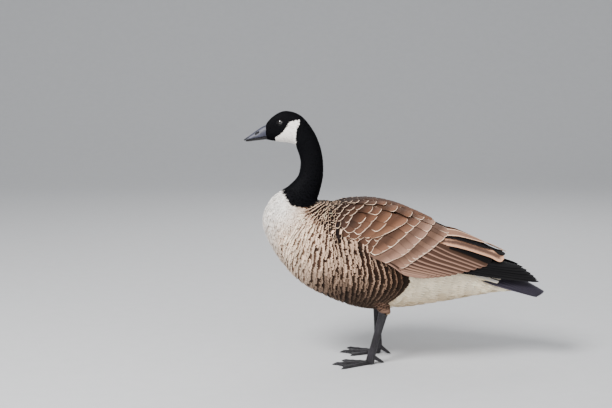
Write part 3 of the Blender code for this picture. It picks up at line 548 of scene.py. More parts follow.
def rim_swell(points):
    """How far the flank's feathers stand out where they cover the wing's front and lower edge."""
    spots = points[..., [0, 2]]
    nearest = np.full(spots.shape[:-1], 1.0)
    for start, end in zip(np.array(WING_RIM[:-1]), np.array(WING_RIM[1:])):
        share = np.clip(np.sum((spots - start) * (end - start), -1) / np.sum((end - start) ** 2), 0, 1)
        away = np.linalg.norm(spots - start - share[..., None] * (end - start), axis=-1)
        nearest = np.minimum(nearest, away)
    rim_x, rim_z = np.array(WING_RIM[1:]).T
    inside = (spots[..., 1] > np.interp(spots[..., 0], rim_x, rim_z)) & (spots[..., 0] > WING_RIM[1][0])
    return RIM_SWELL * np.exp(-((nearest / np.where(inside, SWELL_INSIDE, SWELL_OUTSIDE)) ** 2))


def trunk_surface():
    """The trunk's outline with evenly spaced rings, and where along it each named row lies."""
    rows = list(TRUNK.values())
    fine_places = np.linspace(0, len(rows) - 1, TRUNK_FINE_STEPS)
    fine = spline(rows, fine_places)
    steps = lengths_along((fine[:, 0:2] + fine[:, 2:4]) / 2)
    places = np.interp(np.linspace(0, steps[-1], TRUNK_RINGS), steps, fine_places)
    back_x, back_z, belly_x, belly_z, half_width, widest = spline(rows, places).T
    zero = np.zeros_like(back_x)
    back, belly = np.stack((back_x, zero, back_z), 1), np.stack((belly_x, zero, belly_z), 1)
    depth = np.linalg.norm(back - belly, axis=1)
    up = unit(back - belly)
    c, s = circle(TRUNK_SIDES)
    lift, side = (np.sign(v) * np.abs(v) ** (2 / TRUNK_FULLNESS) for v in (c, s))
    reach = np.where(lift > 0, widest[:, None], 1 - widest[:, None]) * depth[:, None] * lift
    middle = back + (belly - back) * widest[:, None]
    sideways = (side * half_width[:, None])[..., None] * ACROSS
    points = middle[:, None] + reach[..., None] * up[:, None] - sideways
    outwards = np.stack((np.zeros_like(s), -np.sign(s), SWELL_UPWARDS * np.sign(c)), 1)
    points = points + outwards * (rim_swell(points) * np.abs(s) ** 0.5)[..., None]
    row_places = np.interp(range(len(rows)), places, np.linspace(0, 1, TRUNK_RINGS))
    return Surface(points, True), dict(zip(TRUNK, row_places))


def wing_surface():
    """The folded left wing's outer face."""
    xs = np.linspace(WING[0][0], WING[-1][0], WING_GRID[0])
    rows = spline(WING, np.interp(xs, [row[0] for row in WING], range(len(WING))))
    top, low = np.stack((-rows[:, 1], rows[:, 2]), 1), np.stack((-rows[:, 3], rows[:, 4]), 1)
    chord = unit(low - top)
    outwards = np.stack((chord[:, 1], -chord[:, 0]), 1)
    v = np.linspace(0, 1, WING_GRID[1])[None, :, None]
    bulge = rows[:, 5, None, None] * 4 * v * (1 - v)
    flat = top[:, None] + (low - top)[:, None] * v + outwards[:, None] * bulge
    over = flat[:, OVER_BACK:0:-1] * np.array((-1.0, 1.0))
    flat = np.concatenate((over, flat), axis=1)
    along = np.broadcast_to(xs[:, None, None], (*flat.shape[:2], 1))
    return Surface(np.concatenate((along, flat), axis=2), False)


def oval_rings(top, bottom, sections, rows=40, sides=28):
    """Level ovals from top to bottom. Each section: share of the way, depth and width."""
    shares = np.linspace(0, 1, rows)
    table = np.array(sections)
    depths, widths = (np.interp(shares, table[:, 0], table[:, k])[:, None] for k in (1, 2))
    c, s = circle(sides)
    centre = top + (bottom - top) * shares[:, None]
    return centre[:, None] + np.stack((depths * c, widths * s, np.zeros((rows, sides))), 2)


def make_mesh(name, points, faces):
    """A mesh object from arrays of points and triangles or quads."""
    points, faces = np.ascontiguousarray(points, np.float32), np.ascontiguousarray(faces, np.int32)
    mesh = bpy.data.meshes.new(name)
    mesh.vertices.add(len(points))
    mesh.vertices.foreach_set("co", points.ravel())
    mesh.loops.add(faces.size)
    mesh.loops.foreach_set("vertex_index", faces.ravel())
    mesh.polygons.add(len(faces))
    mesh.polygons.foreach_set("loop_start", np.arange(len(faces), dtype=np.int32) * faces.shape[1])
    mesh.update(calc_edges=True)
    mesh.polygons.foreach_set("use_smooth", np.ones(len(faces), bool))
    obj = bpy.data.objects.new(name, mesh)
    bpy.context.scene.collection.objects.link(obj)
    return obj


def add_uv(obj, name, values):
    """A UV map from one value a point."""
    corners = np.empty(len(obj.data.loops), np.int32)
    obj.data.loops.foreach_get("vertex_index", corners)
    layer = obj.data.uv_layers.new(name=name)
    layer.uv.foreach_set("vector", np.ascontiguousarray(values[corners], np.float32).ravel())


def add_colour(obj, name, colours):
    """A colour attribute, 0 to 255 a channel with alpha from 0 to 1."""
    layer = obj.data.color_attributes.new(name, "BYTE_COLOR", "POINT")
    shares = np.clip(colours * np.array((1 / 255, 1 / 255, 1 / 255, 1.0)), 0, 1)
    layer.data.foreach_set("color_srgb", np.ascontiguousarray(shares, np.float32).ravel())


def dress(obj, material, slot, *nodes):
    """Gives a piece its material, lets it ride, and hides the nodes it stands for. slot is not used."""
    obj.data.materials.clear()
    obj.data.materials.append(material)
    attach(obj, "root")
    if nodes:
        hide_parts(*nodes)
    return obj


def eased(count, power=1.7):
    """Steps from 0 to 1 that crowd towards 1."""
    return 1 - (1 - np.linspace(0, 1, count)) ** power


def rounded(steps, neck, tip_start, power=2.6):
    """A vane's widths: narrow at its root, full in the middle and a half circle at the tip."""
    end = np.clip((steps - tip_start) / (1 - tip_start), 0, 1)
    return np.maximum((neck + (1 - neck) * smooth(steps, 0, 0.4)) * (1 - end**power) ** (1 / power), 0.06)


class Kind(NamedTuple):
    """A kind of feather.

    It has locks side by side, points around each, steps along it and its widths there. Its locks' tips differ
    by ragged, the outer ones fall short by fall, and at the root they are pressed together by fan. arch is
    how high its middle is, and lean is how far it leans over the feather below it.
    """

    locks: int
    around: int
    steps: np.ndarray
    widths: np.ndarray
    ragged: float
    fall: float
    fan: float
    arch: float
    lean: float


TUFT = Kind(2, 3, np.array((0, 0.4, 0.75, 1)), np.array((0.7, 1, 0.75, 0.14)), 0.0007, 0.2, 0.6, 0.0006, 0.0)
SOFT = Kind(
    8, 3, np.array((0, 0.45, 0.86, 1)), np.array((0.6, 1, 0.95, 0.4)), 0.0006, 0.14, 0.6, 0.00035, 0.0004
)
DOWN = Kind(6, 3, np.array((0, 0.4, 0.75, 1)), np.array((0.6, 1, 0.8, 0.15)), 0.0026, 0.3, 0.7, 0.00035, 0.0)
FIRM = Kind(1, 7, eased(12), rounded(eased(12), 0.62, 0.87, 2.1), 0, 0, 1, 0.0010, 0.0013)
BENT = FIRM._replace(arch=0.0020, lean=0.0)
SQUARE = FIRM._replace(widths=rounded(eased(12), 0.7, 0.925, 2.1), arch=0.0006, lean=0.0010)
LONG = FIRM._replace(steps=eased(18, 1.6))
# Widths along a long feather
WIDTHS = {
    "blunt": rounded(LONG.steps, 0.6, 0.90),
    "pointed": rounded(LONG.steps, 0.6, 0.55, 1.8),
    "tapered": rounded(LONG.steps, 0.9, 0.25, 1.6),
}
# How unevenly a tuft's locks rise, and the curve by which a feather rises from its root
LOCK_RISE, RISE_CURVE = 0.0002, 0.8
# How high a long feather's middle stands, by the radius its sides are bent to
BLADE_ARCH = 0.000036
# The bake's map holds each feather as a small patch at its place on the surface
BAKE_SPAN, BAKE_START, BAKE_PATCH = 0.99, 0.005, 0.003
OVERLAP = 1.4
CM = 100.0


class Coat:
    """Feathers gathered for one piece of the coat. Each lock is a closed blade of rings, flat underneath."""

    def __init__(self, kind):
        self.rings, self.around = len(kind.steps), kind.around
        self.stores = [], [], [], [], []

    def add(self, points, place, bake, base, edge, mirror=False):
        """points is locks x rings x points across x 3. place holds centimetres from shaft, tip and rim."""
        if mirror:
            points = points[:, :, ::-1] * np.array((1, -1, 1))
            place, bake = place[:, :, ::-1], bake[:, :, ::-1]
        for store, values in zip(self.stores, (points, place, bake, base, edge)):
            store.append(values)

    def pattern(self):
        """Triangles of one lock."""
        m, last = self.around, (self.rings - 1) * self.around
        pairs = [(i * m + k, i * m + (k + 1) % m) for i in range(self.rings - 1) for k in range(m)]
        faces = [face for p, q in pairs for face in ((p, q + m, q), (p, p + m, q + m))]
        faces += [(0, k, k + 1) for k in range(1, m - 1)]
        faces += [(last, last + k + 1, last + k) for k in range(1, m - 1)]
        return np.array(faces)

    def build(self, name, material, slot, *nodes):
        """Makes the pieces, each under the limit of triangles."""
        pattern, size = self.pattern(), self.rings * self.around
        stores = [np.concatenate(store) for store in self.stores]
        per_piece = MOST_TRIANGLES // len(pattern)
        for number, k in enumerate(range(0, len(stores[0]), per_piece)):
            points, place, bake, base, edge = (s[k : k + per_piece] for s in stores)
            faces = pattern[None] + (np.arange(len(points)) * size)[:, None, None]
            piece = make_mesh(f"{name}_{number + 1}", points.reshape(-1, 3), faces.reshape(-1, 3))
            add_uv(piece, "OFBake", bake.reshape(-1, 2))
            vectors = piece.data.attributes.new("place", "FLOAT_VECTOR", "POINT")
            vectors.data.foreach_set("vector", np.ascontiguousarray(place, np.float32).ravel())
            add_colour(piece, "base", np.repeat(base, size, axis=0))
            add_colour(piece, "edge", np.repeat(edge, size, axis=0))
            ends = np.empty(len(piece.data.edges) * 2, np.int32)
            piece.data.edges.foreach_get("vertices", ends)
            rim = np.isin(ends.reshape(-1, 2) % self.around, (0, self.around - 1)).all(axis=1)
            piece.data.attributes.new("sharp_edge", "BOOLEAN", "EDGE").data.foreach_set("value", rim)
            dress(piece, material, slot, *(nodes if number == 0 else ()))


def with_alpha(colours, alpha):
    return np.concatenate((colours, np.broadcast_to(np.reshape(alpha, (-1, 1)), (len(colours), 1))), axis=1)


def lay(
    coat, surface, s, a, length, width, kind, base, edge, fringe, root_depth, tip_lift, flow=None,
    mirror=False, slant=0.0,
):
    """Lays feathers on a surface, their tips at s and a, pointing along flow, or along s with none given.

    slant says how far the tip's edge runs forwards for each step across.
    """
    count, locks = len(s), kind.locks
    _, normal, along, around = surface.at(s, a)
    flow = unit(along if flow is None else flow - np.sum(flow * normal, -1, keepdims=True) * normal)
    side = np.cross(normal, flow)
    flow_s, flow_a = in_steps(flow, along, around)
    side_s, side_a = in_steps(side, along, around)
    spread = lambda values: np.broadcast_to(values, (count,)).astype(float)[:, None, None]
    length, width, root_depth, tip_lift = (spread(v) for v in (length, width, root_depth, tip_lift))
    t = kind.steps
    places = (np.arange(locks) - (locks - 1) / 2) / (locks / 2)
    short = kind.fall * places**2 * width[:, 0] / 2 + rng.normal(0, 1, (count, locks)) * kind.ragged
    reach = -length + (length - short[..., None]) * t
    centre = places[None, :, None] * width * 0.5 * (kind.fan + (1 - kind.fan) * t)
    half = width * kind.widths * (0.5 if locks == 1 else OVERLAP * 0.5 / locks)
    half = np.broadcast_to(half, centre.shape)
    rise = -root_depth + (root_depth + tip_lift) * t**RISE_CURVE
    rise = rise + rng.normal(0, LOCK_RISE, (count, locks))[..., None] * t * (locks > 1)
    corner = np.linspace(-1, 1, kind.around)
    across = centre[..., None] + half[..., None] * corner
    ahead = reach[..., None] + spread(slant)[..., None] * across
    step = lambda along_flow, along_side: (
        ahead * along_flow[:, None, None, None] + across * along_side[:, None, None, None]
    )
    step_s = s[:, None, None, None] + step(flow_s, side_s)
    step_a = a[:, None, None, None] + step(flow_a, side_a)
    points, normals, _, _ = surface.at(step_s, step_a)
    arch = kind.arch * (1 - corner**2) * kind.widths[:, None]
    lean = -kind.lean * across / (width[..., None] * 0.5)
    points = points + normals * (rise[..., None] + arch + lean)[..., None]
    from_tip = np.broadcast_to(-reach[..., None], across.shape)
    own_tip = from_tip - short[..., None, None]
    from_side = half[..., None] * (1 - np.abs(corner)) if locks == 1 else own_tip
    place = np.stack((across, from_tip, np.minimum(own_tip, from_side)), axis=-1) * CM
    root = np.stack((np.mod(a, 1) if surface.closed else np.clip(a, 0, 1), np.clip(s, 0, 1)), 1)
    patch = np.stack((across / width[..., None], from_tip / length[..., None] - 0.5), axis=-1)
    root = root * BAKE_SPAN + BAKE_START
    bake = root[:, None, None, None] + np.clip(patch, -0.5, 0.5) * BAKE_PATCH
    repeat = lambda values: np.repeat(values, locks, axis=0)
    flat = lambda values: values.reshape(count * locks, *values.shape[2:])
    tone = with_alpha(base, rng.uniform(0, 1, count))
    rim = with_alpha(edge, fringe * CM)
    coat.add(flat(points), flat(place), flat(bake), repeat(tone), repeat(rim), mirror)


def blade(
    coat, line, normals, half_width, widths, base, edge, fringe, place, curve, lean=0.0, mirror=False,
    tip_rim=True,
):
    """One long flight feather along a line, its sides bent down round its shaft to the radius curve.

    place is its patch in the bake's map. lean says how far its lower side stands out over the next feather,
    and tip_rim lets the pale rim go round the tip.
    """
    t = LONG.steps
    along = np.linspace(0, 1, len(line))
    points, normals = (np.array([np.interp(t, along, v[:, k]) for k in range(3)]).T for v in (line, normals))
    tangents = unit(np.gradient(points, axis=0))
    side = unit(np.cross(normals, tangents))
    corner = np.linspace(-1, 1, coat.around)
    across = (WIDTHS[widths] * half_width)[:, None] * corner
    drop = across**2 / (2 * curve) - BLADE_ARCH / curve * (1 - corner**2) + lean * corner
    ring = points[:, None] + across[..., None] * side[:, None] - drop[..., None] * normals[:, None]
    length = np.linalg.norm(line[-1] - line[0])
    from_tip = np.broadcast_to((length * (1 - t))[:, None], across.shape)
    from_side = (WIDTHS[widths] * half_width)[:, None] * (1 - np.abs(corner))
    from_rim = np.minimum(from_tip, from_side) if tip_rim else from_side
    spots = np.stack((across, from_tip, from_rim), axis=-1)[None] * CM
    patch = np.stack((across / half_width / 2, from_tip / length - 0.5), axis=-1)
    bake = np.array(place) + np.clip(patch, -0.5, 0.5)[None] * BAKE_PATCH
    tone = with_alpha(np.array([base], float), rng.uniform(0, 1))
    coat.add(ring[None], spots, bake, tone, with_alpha(np.array([edge], float), fringe * CM), mirror)


def inside_outline(x, z, outline):
    """Whether each point lies inside a closed outline."""
    inside = np.zeros(x.shape, bool)
    for (x0, z0), (x1, z1) in zip(outline, outline[1:] + outline[:1]):
        crosses = (z0 > z) != (z1 > z)
        inside ^= crosses & (x < (x1 - x0) * (z - z0) / (z1 - z0 + 1e-12) + x0)
    return inside


def mix(first, second, share):
    return first + (np.asarray(second, float) - first) * np.asarray(share)[..., None]


def turn_from_back(a):
    """0 at the middle of the back and 1 at the middle of the belly, on both sides."""
    return np.minimum(np.mod(a, 1), 1 - np.mod(a, 1)) * 2


def black_end(a):
    """Where along the trunk the black neck ends at each place round it."""
    _, _, along, _ = trunk.at(named["collar"], a)
    least, more, at_turn, span = NECK_BORDER
    border = least + more * np.exp(-(((turn_from_back(a) - at_turn) / span) ** 2))
    return named["collar"] + border / np.linalg.norm(along, axis=-1)


def plumage(s, a, points):
    """The feathers' colours at places on the trunk, their tips' colours, and how much they are mantle."""
    x, z, turn = points[..., 0], points[..., 2], turn_from_back(a)
    xs = [tone[0] for tone in BODY_TONES]
    base, edge = (
        np.stack([np.interp(x, xs, [tone[which][k] for tone in BODY_TONES]) for k in range(3)], axis=-1)
        for which in (1, 2)
    )
    lit = smooth(z, *LIT_HEIGHT) * smooth(-x, *LIT_FRONT)
    # Painted shade: the feathers turn darker and duller towards the belly
    belly = smooth(turn, *BELLY_TURN) * np.interp(x, BELLY_X, BELLY_SHARES)
    front_x, front_z = np.array(MANTLE_FRONT).T
    shoulder = smooth(x - np.interp(z, front_z, front_x), *MANTLE_STEP) * smooth(z, *MANTLE_HEIGHT)
    mantle = np.maximum(smooth(-turn, *BACK_TURN) * smooth(x, *BACK_X), shoulder)
    last_x, last_z = np.array(BODY_LINES[VENT_LINE][1]).T / 1000
    behind = smooth(x - np.interp(z, last_z, last_x), *VENT_STEP)
    rump = smooth(x, *RUMP_X) * smooth(-turn, *RUMP_TURN) * (1 - smooth(x, *RUMP_END))
    for share, own, tip in (
        (lit, WHITE, LIT_TIP),
        (belly, SHADED_BELLY, SHADED_BELLY_EDGE),
        (mantle, MANTLE, MANTLE_EDGE),
        (behind, VENT, VENT_EDGE),
    ):
        base, edge = mix(base, own, share), mix(edge, tip, share)
    # Painted shade: the vent's white feathers darker and warmer towards the bottom
    vent_shade = behind * smooth(turn, *VENT_SHADE_TURN)
    base, edge = mix(base, VENT_SHADED, vent_shade), mix(edge, VENT_SHADED, vent_shade * 0.9)
    base, edge = mix(base, BLACK, rump), mix(edge, BLACK_SHEEN_EDGE, rump)
    black = s < black_end(a)
    base, edge = np.where(black[..., None], BLACK, base), np.where(black[..., None], BLACK_SHEEN_EDGE, edge)
    cheek = inside_outline(x, z, CHEEK_OUTLINE)
    base, edge = np.where(cheek[..., None], CHEEK, base), np.where(cheek[..., None], CHEEK_EDGE, edge)
    return base.astype(float), edge.astype(float), mantle


trunk, named = trunk_surface()
wing = wing_surface()


def along_trunk(values):
    """Reads values given at the trunk's named rows anywhere between them."""
    return lambda s: np.interp(s, [named[row] for row in values], list(values.values()))


coat_depth = along_trunk(SKIN_DEPTHS)


def make_skin(material):
    """One skin under the coat, from the bill to the tail."""
    s = np.linspace(0, 1, SKIN_RINGS)[:, None]
    a = np.linspace(0, 1, SKIN_SIDES, endpoint=False)[None]
    points, normals, _, _ = trunk.at(s, a)
    rings = points - normals * coat_depth(s)[..., None]
    base, _, _ = plumage(*np.broadcast_arrays(s, a), rings)
    points, faces = loft_arrays(rings)
    skin = make_mesh("skin", points, faces[:, ::-1])
    tones = np.concatenate((base.reshape(-1, 3), base[0, :1], base[-1, :1]))
    add_colour(skin, "base", with_alpha(tones, 0.5))
    nodes = ("head", "neck_upper", "neck_lower", "torso", "thigh_left", "thigh_right")
    dress(skin, material, "body_plumage", *nodes)


def rows_between(start, end, spacing):
    """Places of rows along the trunk, spaced at its side by spacing(s)."""
    rows, s = [], start
    while s < end:
        rows.append(s)
        s += spacing(s) / np.linalg.norm(trunk.at(s, SIDE)[2])
    return rows


def short_feathers(coat, start, end, spacing, width, length, lift, ragged):
    """Rows of small feathers round the head and neck, each row shifted against the one before."""
    for k, s in enumerate(rows_between(start, end, spacing)):
        _, _, along, around = trunk.at(s, np.linspace(0, 1, 24, endpoint=False))
        count = max(int(np.linalg.norm(around, axis=-1).mean() / (width(s) * PITCH)), 8)
        a = (np.arange(count) + 0.5 * (k % 2) + rng.uniform(-0.28, 0.28, count)) / count
        point, _, along, _ = trunk.at(s, a)
        side_step = np.linalg.norm(trunk.at(s, SIDE)[2])
        exposed = spacing(s) * np.linalg.norm(along, axis=-1) / side_step
        tip = s + rng.normal(0, ragged, count) * spacing(s) / side_step
        size = np.clip(exposed / spacing(s), *SHORT_SIZES) * rng.uniform(*SHORT_VARIES, count)
        base, edge, _ = plumage(tip, a, trunk.at(tip, a)[0])
        shade = rng.normal(1.0, SHORT_SHADES, (count, 1))
        keep = (tip < black_end(a)) & ~near_eye(point)
        long = length(s) * size
        values = (tip, a, long, base * shade, edge * shade, coat_depth(tip) + COAT_LIFT)
        tip, a, long, base, edge, depth = (v[keep] for v in values)
        if len(tip):
            rim = long * SHORT_RIM
            lay(coat, trunk, tip, a, long, width(s), TUFT, base, edge, rim, depth, lift)


def body_rows():
    """How far along the trunk each row of body feathers has its tips, at evenly spaced places round it."""
    s = np.linspace(0, 1, TRUNK_RINGS)
    a = np.arange(TRUNK_SIDES) / TRUNK_SIDES
    x, z = trunk.grid[..., 0], trunk.grid[..., 2]
    marks, rows = [black_end(a)], []
    for count, line in BODY_LINES:
        line = np.array(line) / 1000
        ahead = x - np.interp(z, line[:, 1], line[:, 0])
        ahead[s < named["collar"]] = -1.0
        ahead[-1] = 1.0
        first = np.argmax(ahead > 0, axis=0)
        late, early = ahead[first, np.arange(TRUNK_SIDES)], ahead[first - 1, np.arange(TRUNK_SIDES)]
        crossing = s[first - 1] + (s[first] - s[first - 1]) * early / (early - late)
        crossing = np.mean([np.roll(crossing, k) for k in range(-4, 5)], axis=0)
        crossing = np.maximum(crossing, marks[-1] + count * ROW_STEP)
        rows += [marks[-1] + (crossing - marks[-1]) * k / count for k in range(count)]
        marks.append(crossing)
    return a, rows + [marks[-1]]


def round_reading(places, a, values):
    """Values given at places round the trunk, read at others."""
    return np.interp(np.mod(a, 1), np.append(places, 1.0), np.append(values, values[0]))


def body_feathers(soft, down, firm):
    """The breast's, flank's and belly's feathers in soft, the white ones in down and the mantle's in firm."""
    places, rows = body_rows()
    covered = np.zeros(TRUNK_SIDES)
    for k in range(1, len(rows)):
        step = np.linalg.norm(trunk.at(rows[k], places)[2], axis=-1)
        gap = (rows[k] - rows[k - 1]) * step
        covered = covered + gap
        ring = trunk.at(rows[k], places)[0]
        ring_next = np.roll(ring, -1, axis=0)
        wide = np.clip(gap * BODY_WIDER, *BODY_WIDTHS)
        needed = np.concatenate(([0], np.cumsum(np.linalg.norm(ring_next - ring, axis=1) / (wide * PITCH))))
        count = int(needed[-1])
        order = np.arange(count) + 0.5 * (k % 2) + rng.uniform(-BODY_SHIFT, BODY_SHIFT, count)
        wanted = order / count * needed[-1]
        a = np.interp(np.mod(wanted, needed[-1]), needed, np.append(places, 1.0))
        read = lambda values: round_reading(places, a, values)
        s, exposed, width, so_far = read(rows[k]), read(gap), read(wide), read(covered)
        slope = read(np.gradient(np.append(rows[k], rows[k][0])[: len(places)], places))
        point, normal, along, around = trunk.at(s, a)
        tangent = around + along * slope[:, None]
        flow = np.cross(tangent, normal)
        flow = flow * np.sign(np.sum(flow * along, axis=1, keepdims=True))
        jitter = np.interp(point[:, 0], *np.array(TIP_JITTER).T)
        way_round = np.interp(a, np.append(places, 1.0), lengths_along(np.concatenate((ring, ring[:1]))))
        bend = np.abs(np.sin(math.pi * (way_round / BAR_WIDTH + rng.uniform()))) - BAR_MIDDLE
        barred = np.interp(point[:, 0], *np.array(BAR_STRENGTH).T)
        offset = rng.normal(0, 1, count) * jitter + bend * barred
        tip = s + offset * exposed / np.linalg.norm(along, axis=1)
        base, edge, mantle = plumage(tip, a, trunk.at(tip, a)[0])
        white = base.mean(axis=1) > WHITE_LEVEL
        dark_back = mantle >= DARK_BACK
        spacing = np.where(dark_back, MANTLE_SPACING, np.where(white, WHITE_SPACING, SIDE_SPACING))
        spaced = np.floor(so_far / spacing) > np.floor((so_far - exposed) / spacing)
        exposed = np.maximum(exposed, spacing)
        width = np.maximum(width, exposed * BODY_WIDER)
        length = np.clip(exposed * BODY_LONGER, *BODY_LENGTHS) * rng.uniform(*BODY_VARIES, count)
        shade = rng.normal(1.0, BODY_SHADES, (count, 1))
        share = np.interp(point[:, 0], *np.array(TIP_SHARES).T)
        fringe = np.clip(exposed, *BODY_FRINGES) * share * rng.uniform(*BODY_RIMS, count)
        keep = ~under_wing(point) & spaced
        kinds = ((soft, SOFT, ~white & ~dark_back), (down, DOWN, white), (firm, FIRM, dark_back))
        for coat, kind, chosen in kinds:
            chosen = chosen & keep
            if chosen.any():
                rim = np.full(count, MANTLE_RIM) if coat is firm else fringe
                tint = 1 + (shade - 1) * (0.5 if coat is down else 1.0)
                sizes = (v[chosen] for v in (tip, a, length, width))
                tones = (v[chosen] for v in (base * tint, edge * tint, rim, coat_depth(tip) + COAT_LIFT))
                lay(coat, trunk, *sizes, kind, *tones, BODY_LIFT, flow[chosen])


def near_eye(points):
    """Whether points lie on the eyes or their lids."""
    x, _, z = EYE_PLACE
    return np.hypot((points[:, 0] - x) / EYE_BARE_LONGER, points[:, 2] - z) < EYE_BARE


def under_wing(points):
    """Whether points lie well under a folded wing, where no feather shows."""
    x, y, z = points[:, 0], np.abs(points[:, 1]), points[:, 2]
    low = np.interp(x, [row[0] for row in WING], [row[4] for row in WING])
    return (x > HIDDEN_X[0]) & (x < HIDDEN_X[1]) & (z > low + HIDDEN_ABOVE) & (y > HIDDEN_OUT)


def make_body_coat(materials, coverts):
    """All feathers of the trunk, small and close on the head and long and soft on the belly."""
    for part, (first, last, spacing, width, length, lift, ragged) in SHORT_COATS.items():
        coat = Coat(TUFT)
        start, end = (named[row] + further for row, further in (first, last))
        short_feathers(coat, start, end, *map(along_trunk, (spacing, width, length)), lift, ragged)
        coat.build(f"coat_{part}", materials["short"], "neck_plumage")
    body, white = Coat(SOFT), Coat(DOWN)
    body_feathers(body, white, coverts)
    body.build("coat_body", materials["soft"], "body_plumage")
    white.build("coat_white", materials["down"], "body_plumage")


def wing_share(x, z):
    """Where across the wing's face, from its top, each x has its height z."""
    shares = np.linspace(OVER_BACK / (OVER_BACK + WING_GRID[1] - 1), 1, 120)
    s = (np.asarray(x) - WING[0][0]) / (WING[-1][0] - WING[0][0])
    heights = wing.at(s[:, None], shares[None])[0][..., 2]
    return s, np.array([np.interp(-h, -row, shares) for h, row in zip(z, heights)])


def wing_row(coat, row, kind, base, edge, mirror, spread=0.0):
    """A row of feathers on the wing with their tips along a line."""
    count, length, half_width, slope, lift, fringe, line = row
    line = np.array(line) / 1000
    steps = lengths_along(line)
    share = (np.arange(count) + 0.5 + rng.uniform(-WING_SHIFT, WING_SHIFT, count)) / count
    places = np.interp(share * steps[-1], steps, range(len(line)))
    x, z = spline(line, places).T
    s, a = wing_share(x + rng.normal(0, WING_TIPS, count), z)
    angle = np.radians(slope + spread * (share - 0.5) + rng.normal(0, WING_TURNS, count))
    flow = np.stack((np.cos(angle), np.zeros(count), -np.sin(angle)), 1)
    shade = rng.normal(1.0, WING_SHADES, (count, 1))
    long = length * rng.uniform(*WING_VARIES, count)
    tones = (np.array(base) * shade, np.array(edge) * np.sqrt(shade))
    _, normal, _, _ = wing.at(s, a)
    before, after = (wing.at(*wing_share(*spline(line, places + k).T))[0] for k in (-0.1, 0.1))
    flat_flow = unit(flow - np.sum(flow * normal, -1, keepdims=True) * normal)
    forwards = np.sum((after - before) * flat_flow, -1)
    sideways = np.sum((after - before) * np.cross(normal, flat_flow), -1)
    slant = np.clip(forwards / sideways, -STEEPEST_SLANT, STEEPEST_SLANT)
    rims, depth = fringe * rng.uniform(*WING_RIMS, count), WING_ROOT_DEPTH
    lay(coat, wing, s, a, long, half_width * 2, kind, *tones, rims, depth, lift, flow, mirror, slant)


def ridge_feathers(coat, mirror):
    """Feathers over the back, where the two wings meet."""
    s = np.repeat(np.linspace(*RIDGE_REACH, RIDGE_COUNT), len(RIDGE_PLACES))
    a = np.tile(RIDGE_PLACES, RIDGE_COUNT)
    count = len(s)
    s = s + np.tile(np.arange(len(RIDGE_PLACES)) % 2 * 0.5, RIDGE_COUNT) * (s[-1] - s[0]) / RIDGE_COUNT
    share = np.clip(s / RIDGE_REACH[1], 0, 1)
    # Painted shade: the ridge feathers darkened where the light falls on the back's top
    base = mix(np.array(MANTLE, float), SCAPULAR, share) * rng.normal(RIDGE_SHADE, RIDGE_VARIES, (count, 1))
    edge = np.full((count, 3), SCAPULAR_EDGE) * rng.normal(RIDGE_RIM_SHADE, RIDGE_VARIES, (count, 1))
    length, width = (first + more * share for first, more in (RIDGE_LENGTHS, RIDGE_WIDTHS))
    rims = np.full(count, RIDGE_RIM)
    lay(coat, wing, s, a, length, width, BENT, base, edge, rims, WING_ROOT_DEPTH, RIDGE_LIFT, None, mirror)


def make_secondaries(side_name, mirror, materials):
    """Long straight feathers on the wing's face, each over the one below it."""
    coat = Coat(LONG)
    count, length, half_width, slope, lift, fringe, tip_line = SECONDARIES
    for k, share in enumerate((np.arange(count) + 0.5) / count):
        tip = spline(tip_line, share * (len(tip_line) - 1))[0]
        angle = math.radians(slope + SECONDARY_SPREAD * (share - 0.5))
        back = np.linspace(length, 0, 14)[:, None]
        x, z = (tip - back * np.array((math.cos(angle), -math.sin(angle)))).T
        point, normal, _, _ = wing.at(*wing_share(x, z))
        line = point + normal * (lift + SECONDARY_RISE * share - SECONDARY_SUNK * back / length)
        shade = rng.normal(1.0, 0.05)
        tones = (np.array(SECONDARY) * shade, np.array(SECONDARY_EDGE) * shade)
        place, bend = (0.6, 0.2 + 0.05 * k), (SECONDARY_BEND, SECONDARY_LEAN)
        blade(coat, line, normal, half_width, "blunt", *tones, fringe, place, *bend, mirror, False)
    coat.build(f"secondaries_{side_name}", materials["secondary"], "wing_plumage")


def make_tertials(side_name, mirror, materials):
    """Long feathers on the wing's upper rear edge, each over the one below it."""
    coat = Coat(LONG)
    t = np.linspace(0, 1, 16)
    for k, (root_x, root_z, tip_x, tip_z, half_width, widths, base, edge, fringe) in enumerate(TERTIALS):
        if mirror and k == len(TERTIALS) - 1:
            tip_x, tip_z = tip_x + FAR_TERTIAL_EXTRA[0], tip_z + FAR_TERTIAL_EXTRA[1]
        x = root_x + (tip_x - root_x) * t
        z = root_z + (tip_z - root_z) * t + LONG_FEATHER_SAG * 4 * t * (1 - t)
        point, normal, _, _ = wing.at(*wing_share(x, z))
        lift = (TERTIAL_LIFT + TERTIAL_STEP * k + TERTIAL_SUNK) * smooth(x, *TERTIAL_RISE) - TERTIAL_SUNK
        line = np.stack((x, point[:, 1], z), 1) + normal * lift[:, None]
        place, bend = (0.3 + 0.05 * k, 0.5), (TERTIAL_BEND, TERTIAL_LEAN)
        blade(coat, line, normal, half_width, widths, base, edge, fringe, place, *bend, mirror)
    coat.build(f"tertials_{side_name}", materials["tertials"], "wing_plumage")


def make_primaries(side_name, mirror, materials):
    """The black flight feathers that reach over the tail."""
    coat = Coat(LONG)
    lean = np.array((0.0, -math.sin(LONG_FEATHER_LEAN), math.cos(LONG_FEATHER_LEAN)))
    normals = np.repeat(lean[None], 12, axis=0)
    t = np.linspace(0, 1, 12)[:, None]
    for k, (root, tip) in enumerate(np.array(PRIMARIES)):
        line = root + (tip - root) * t
        line[:, 2] += LONG_FEATHER_SAG * 4 * (t * (1 - t))[:, 0]
        line = line + lean * PRIMARY_STEP * k
        tones, place = (PRIMARY, PRIMARY_EDGE, THIN_RIM), (0.3 + 0.05 * k, 0.5)
        blade(coat, line, normals, PRIMARY_HALF_WIDTH, "pointed", *tones, place, PRIMARY_BEND, 0.0, mirror)
    coat.build(f"primaries_{side_name}", materials["primaries"], "wing_plumage")


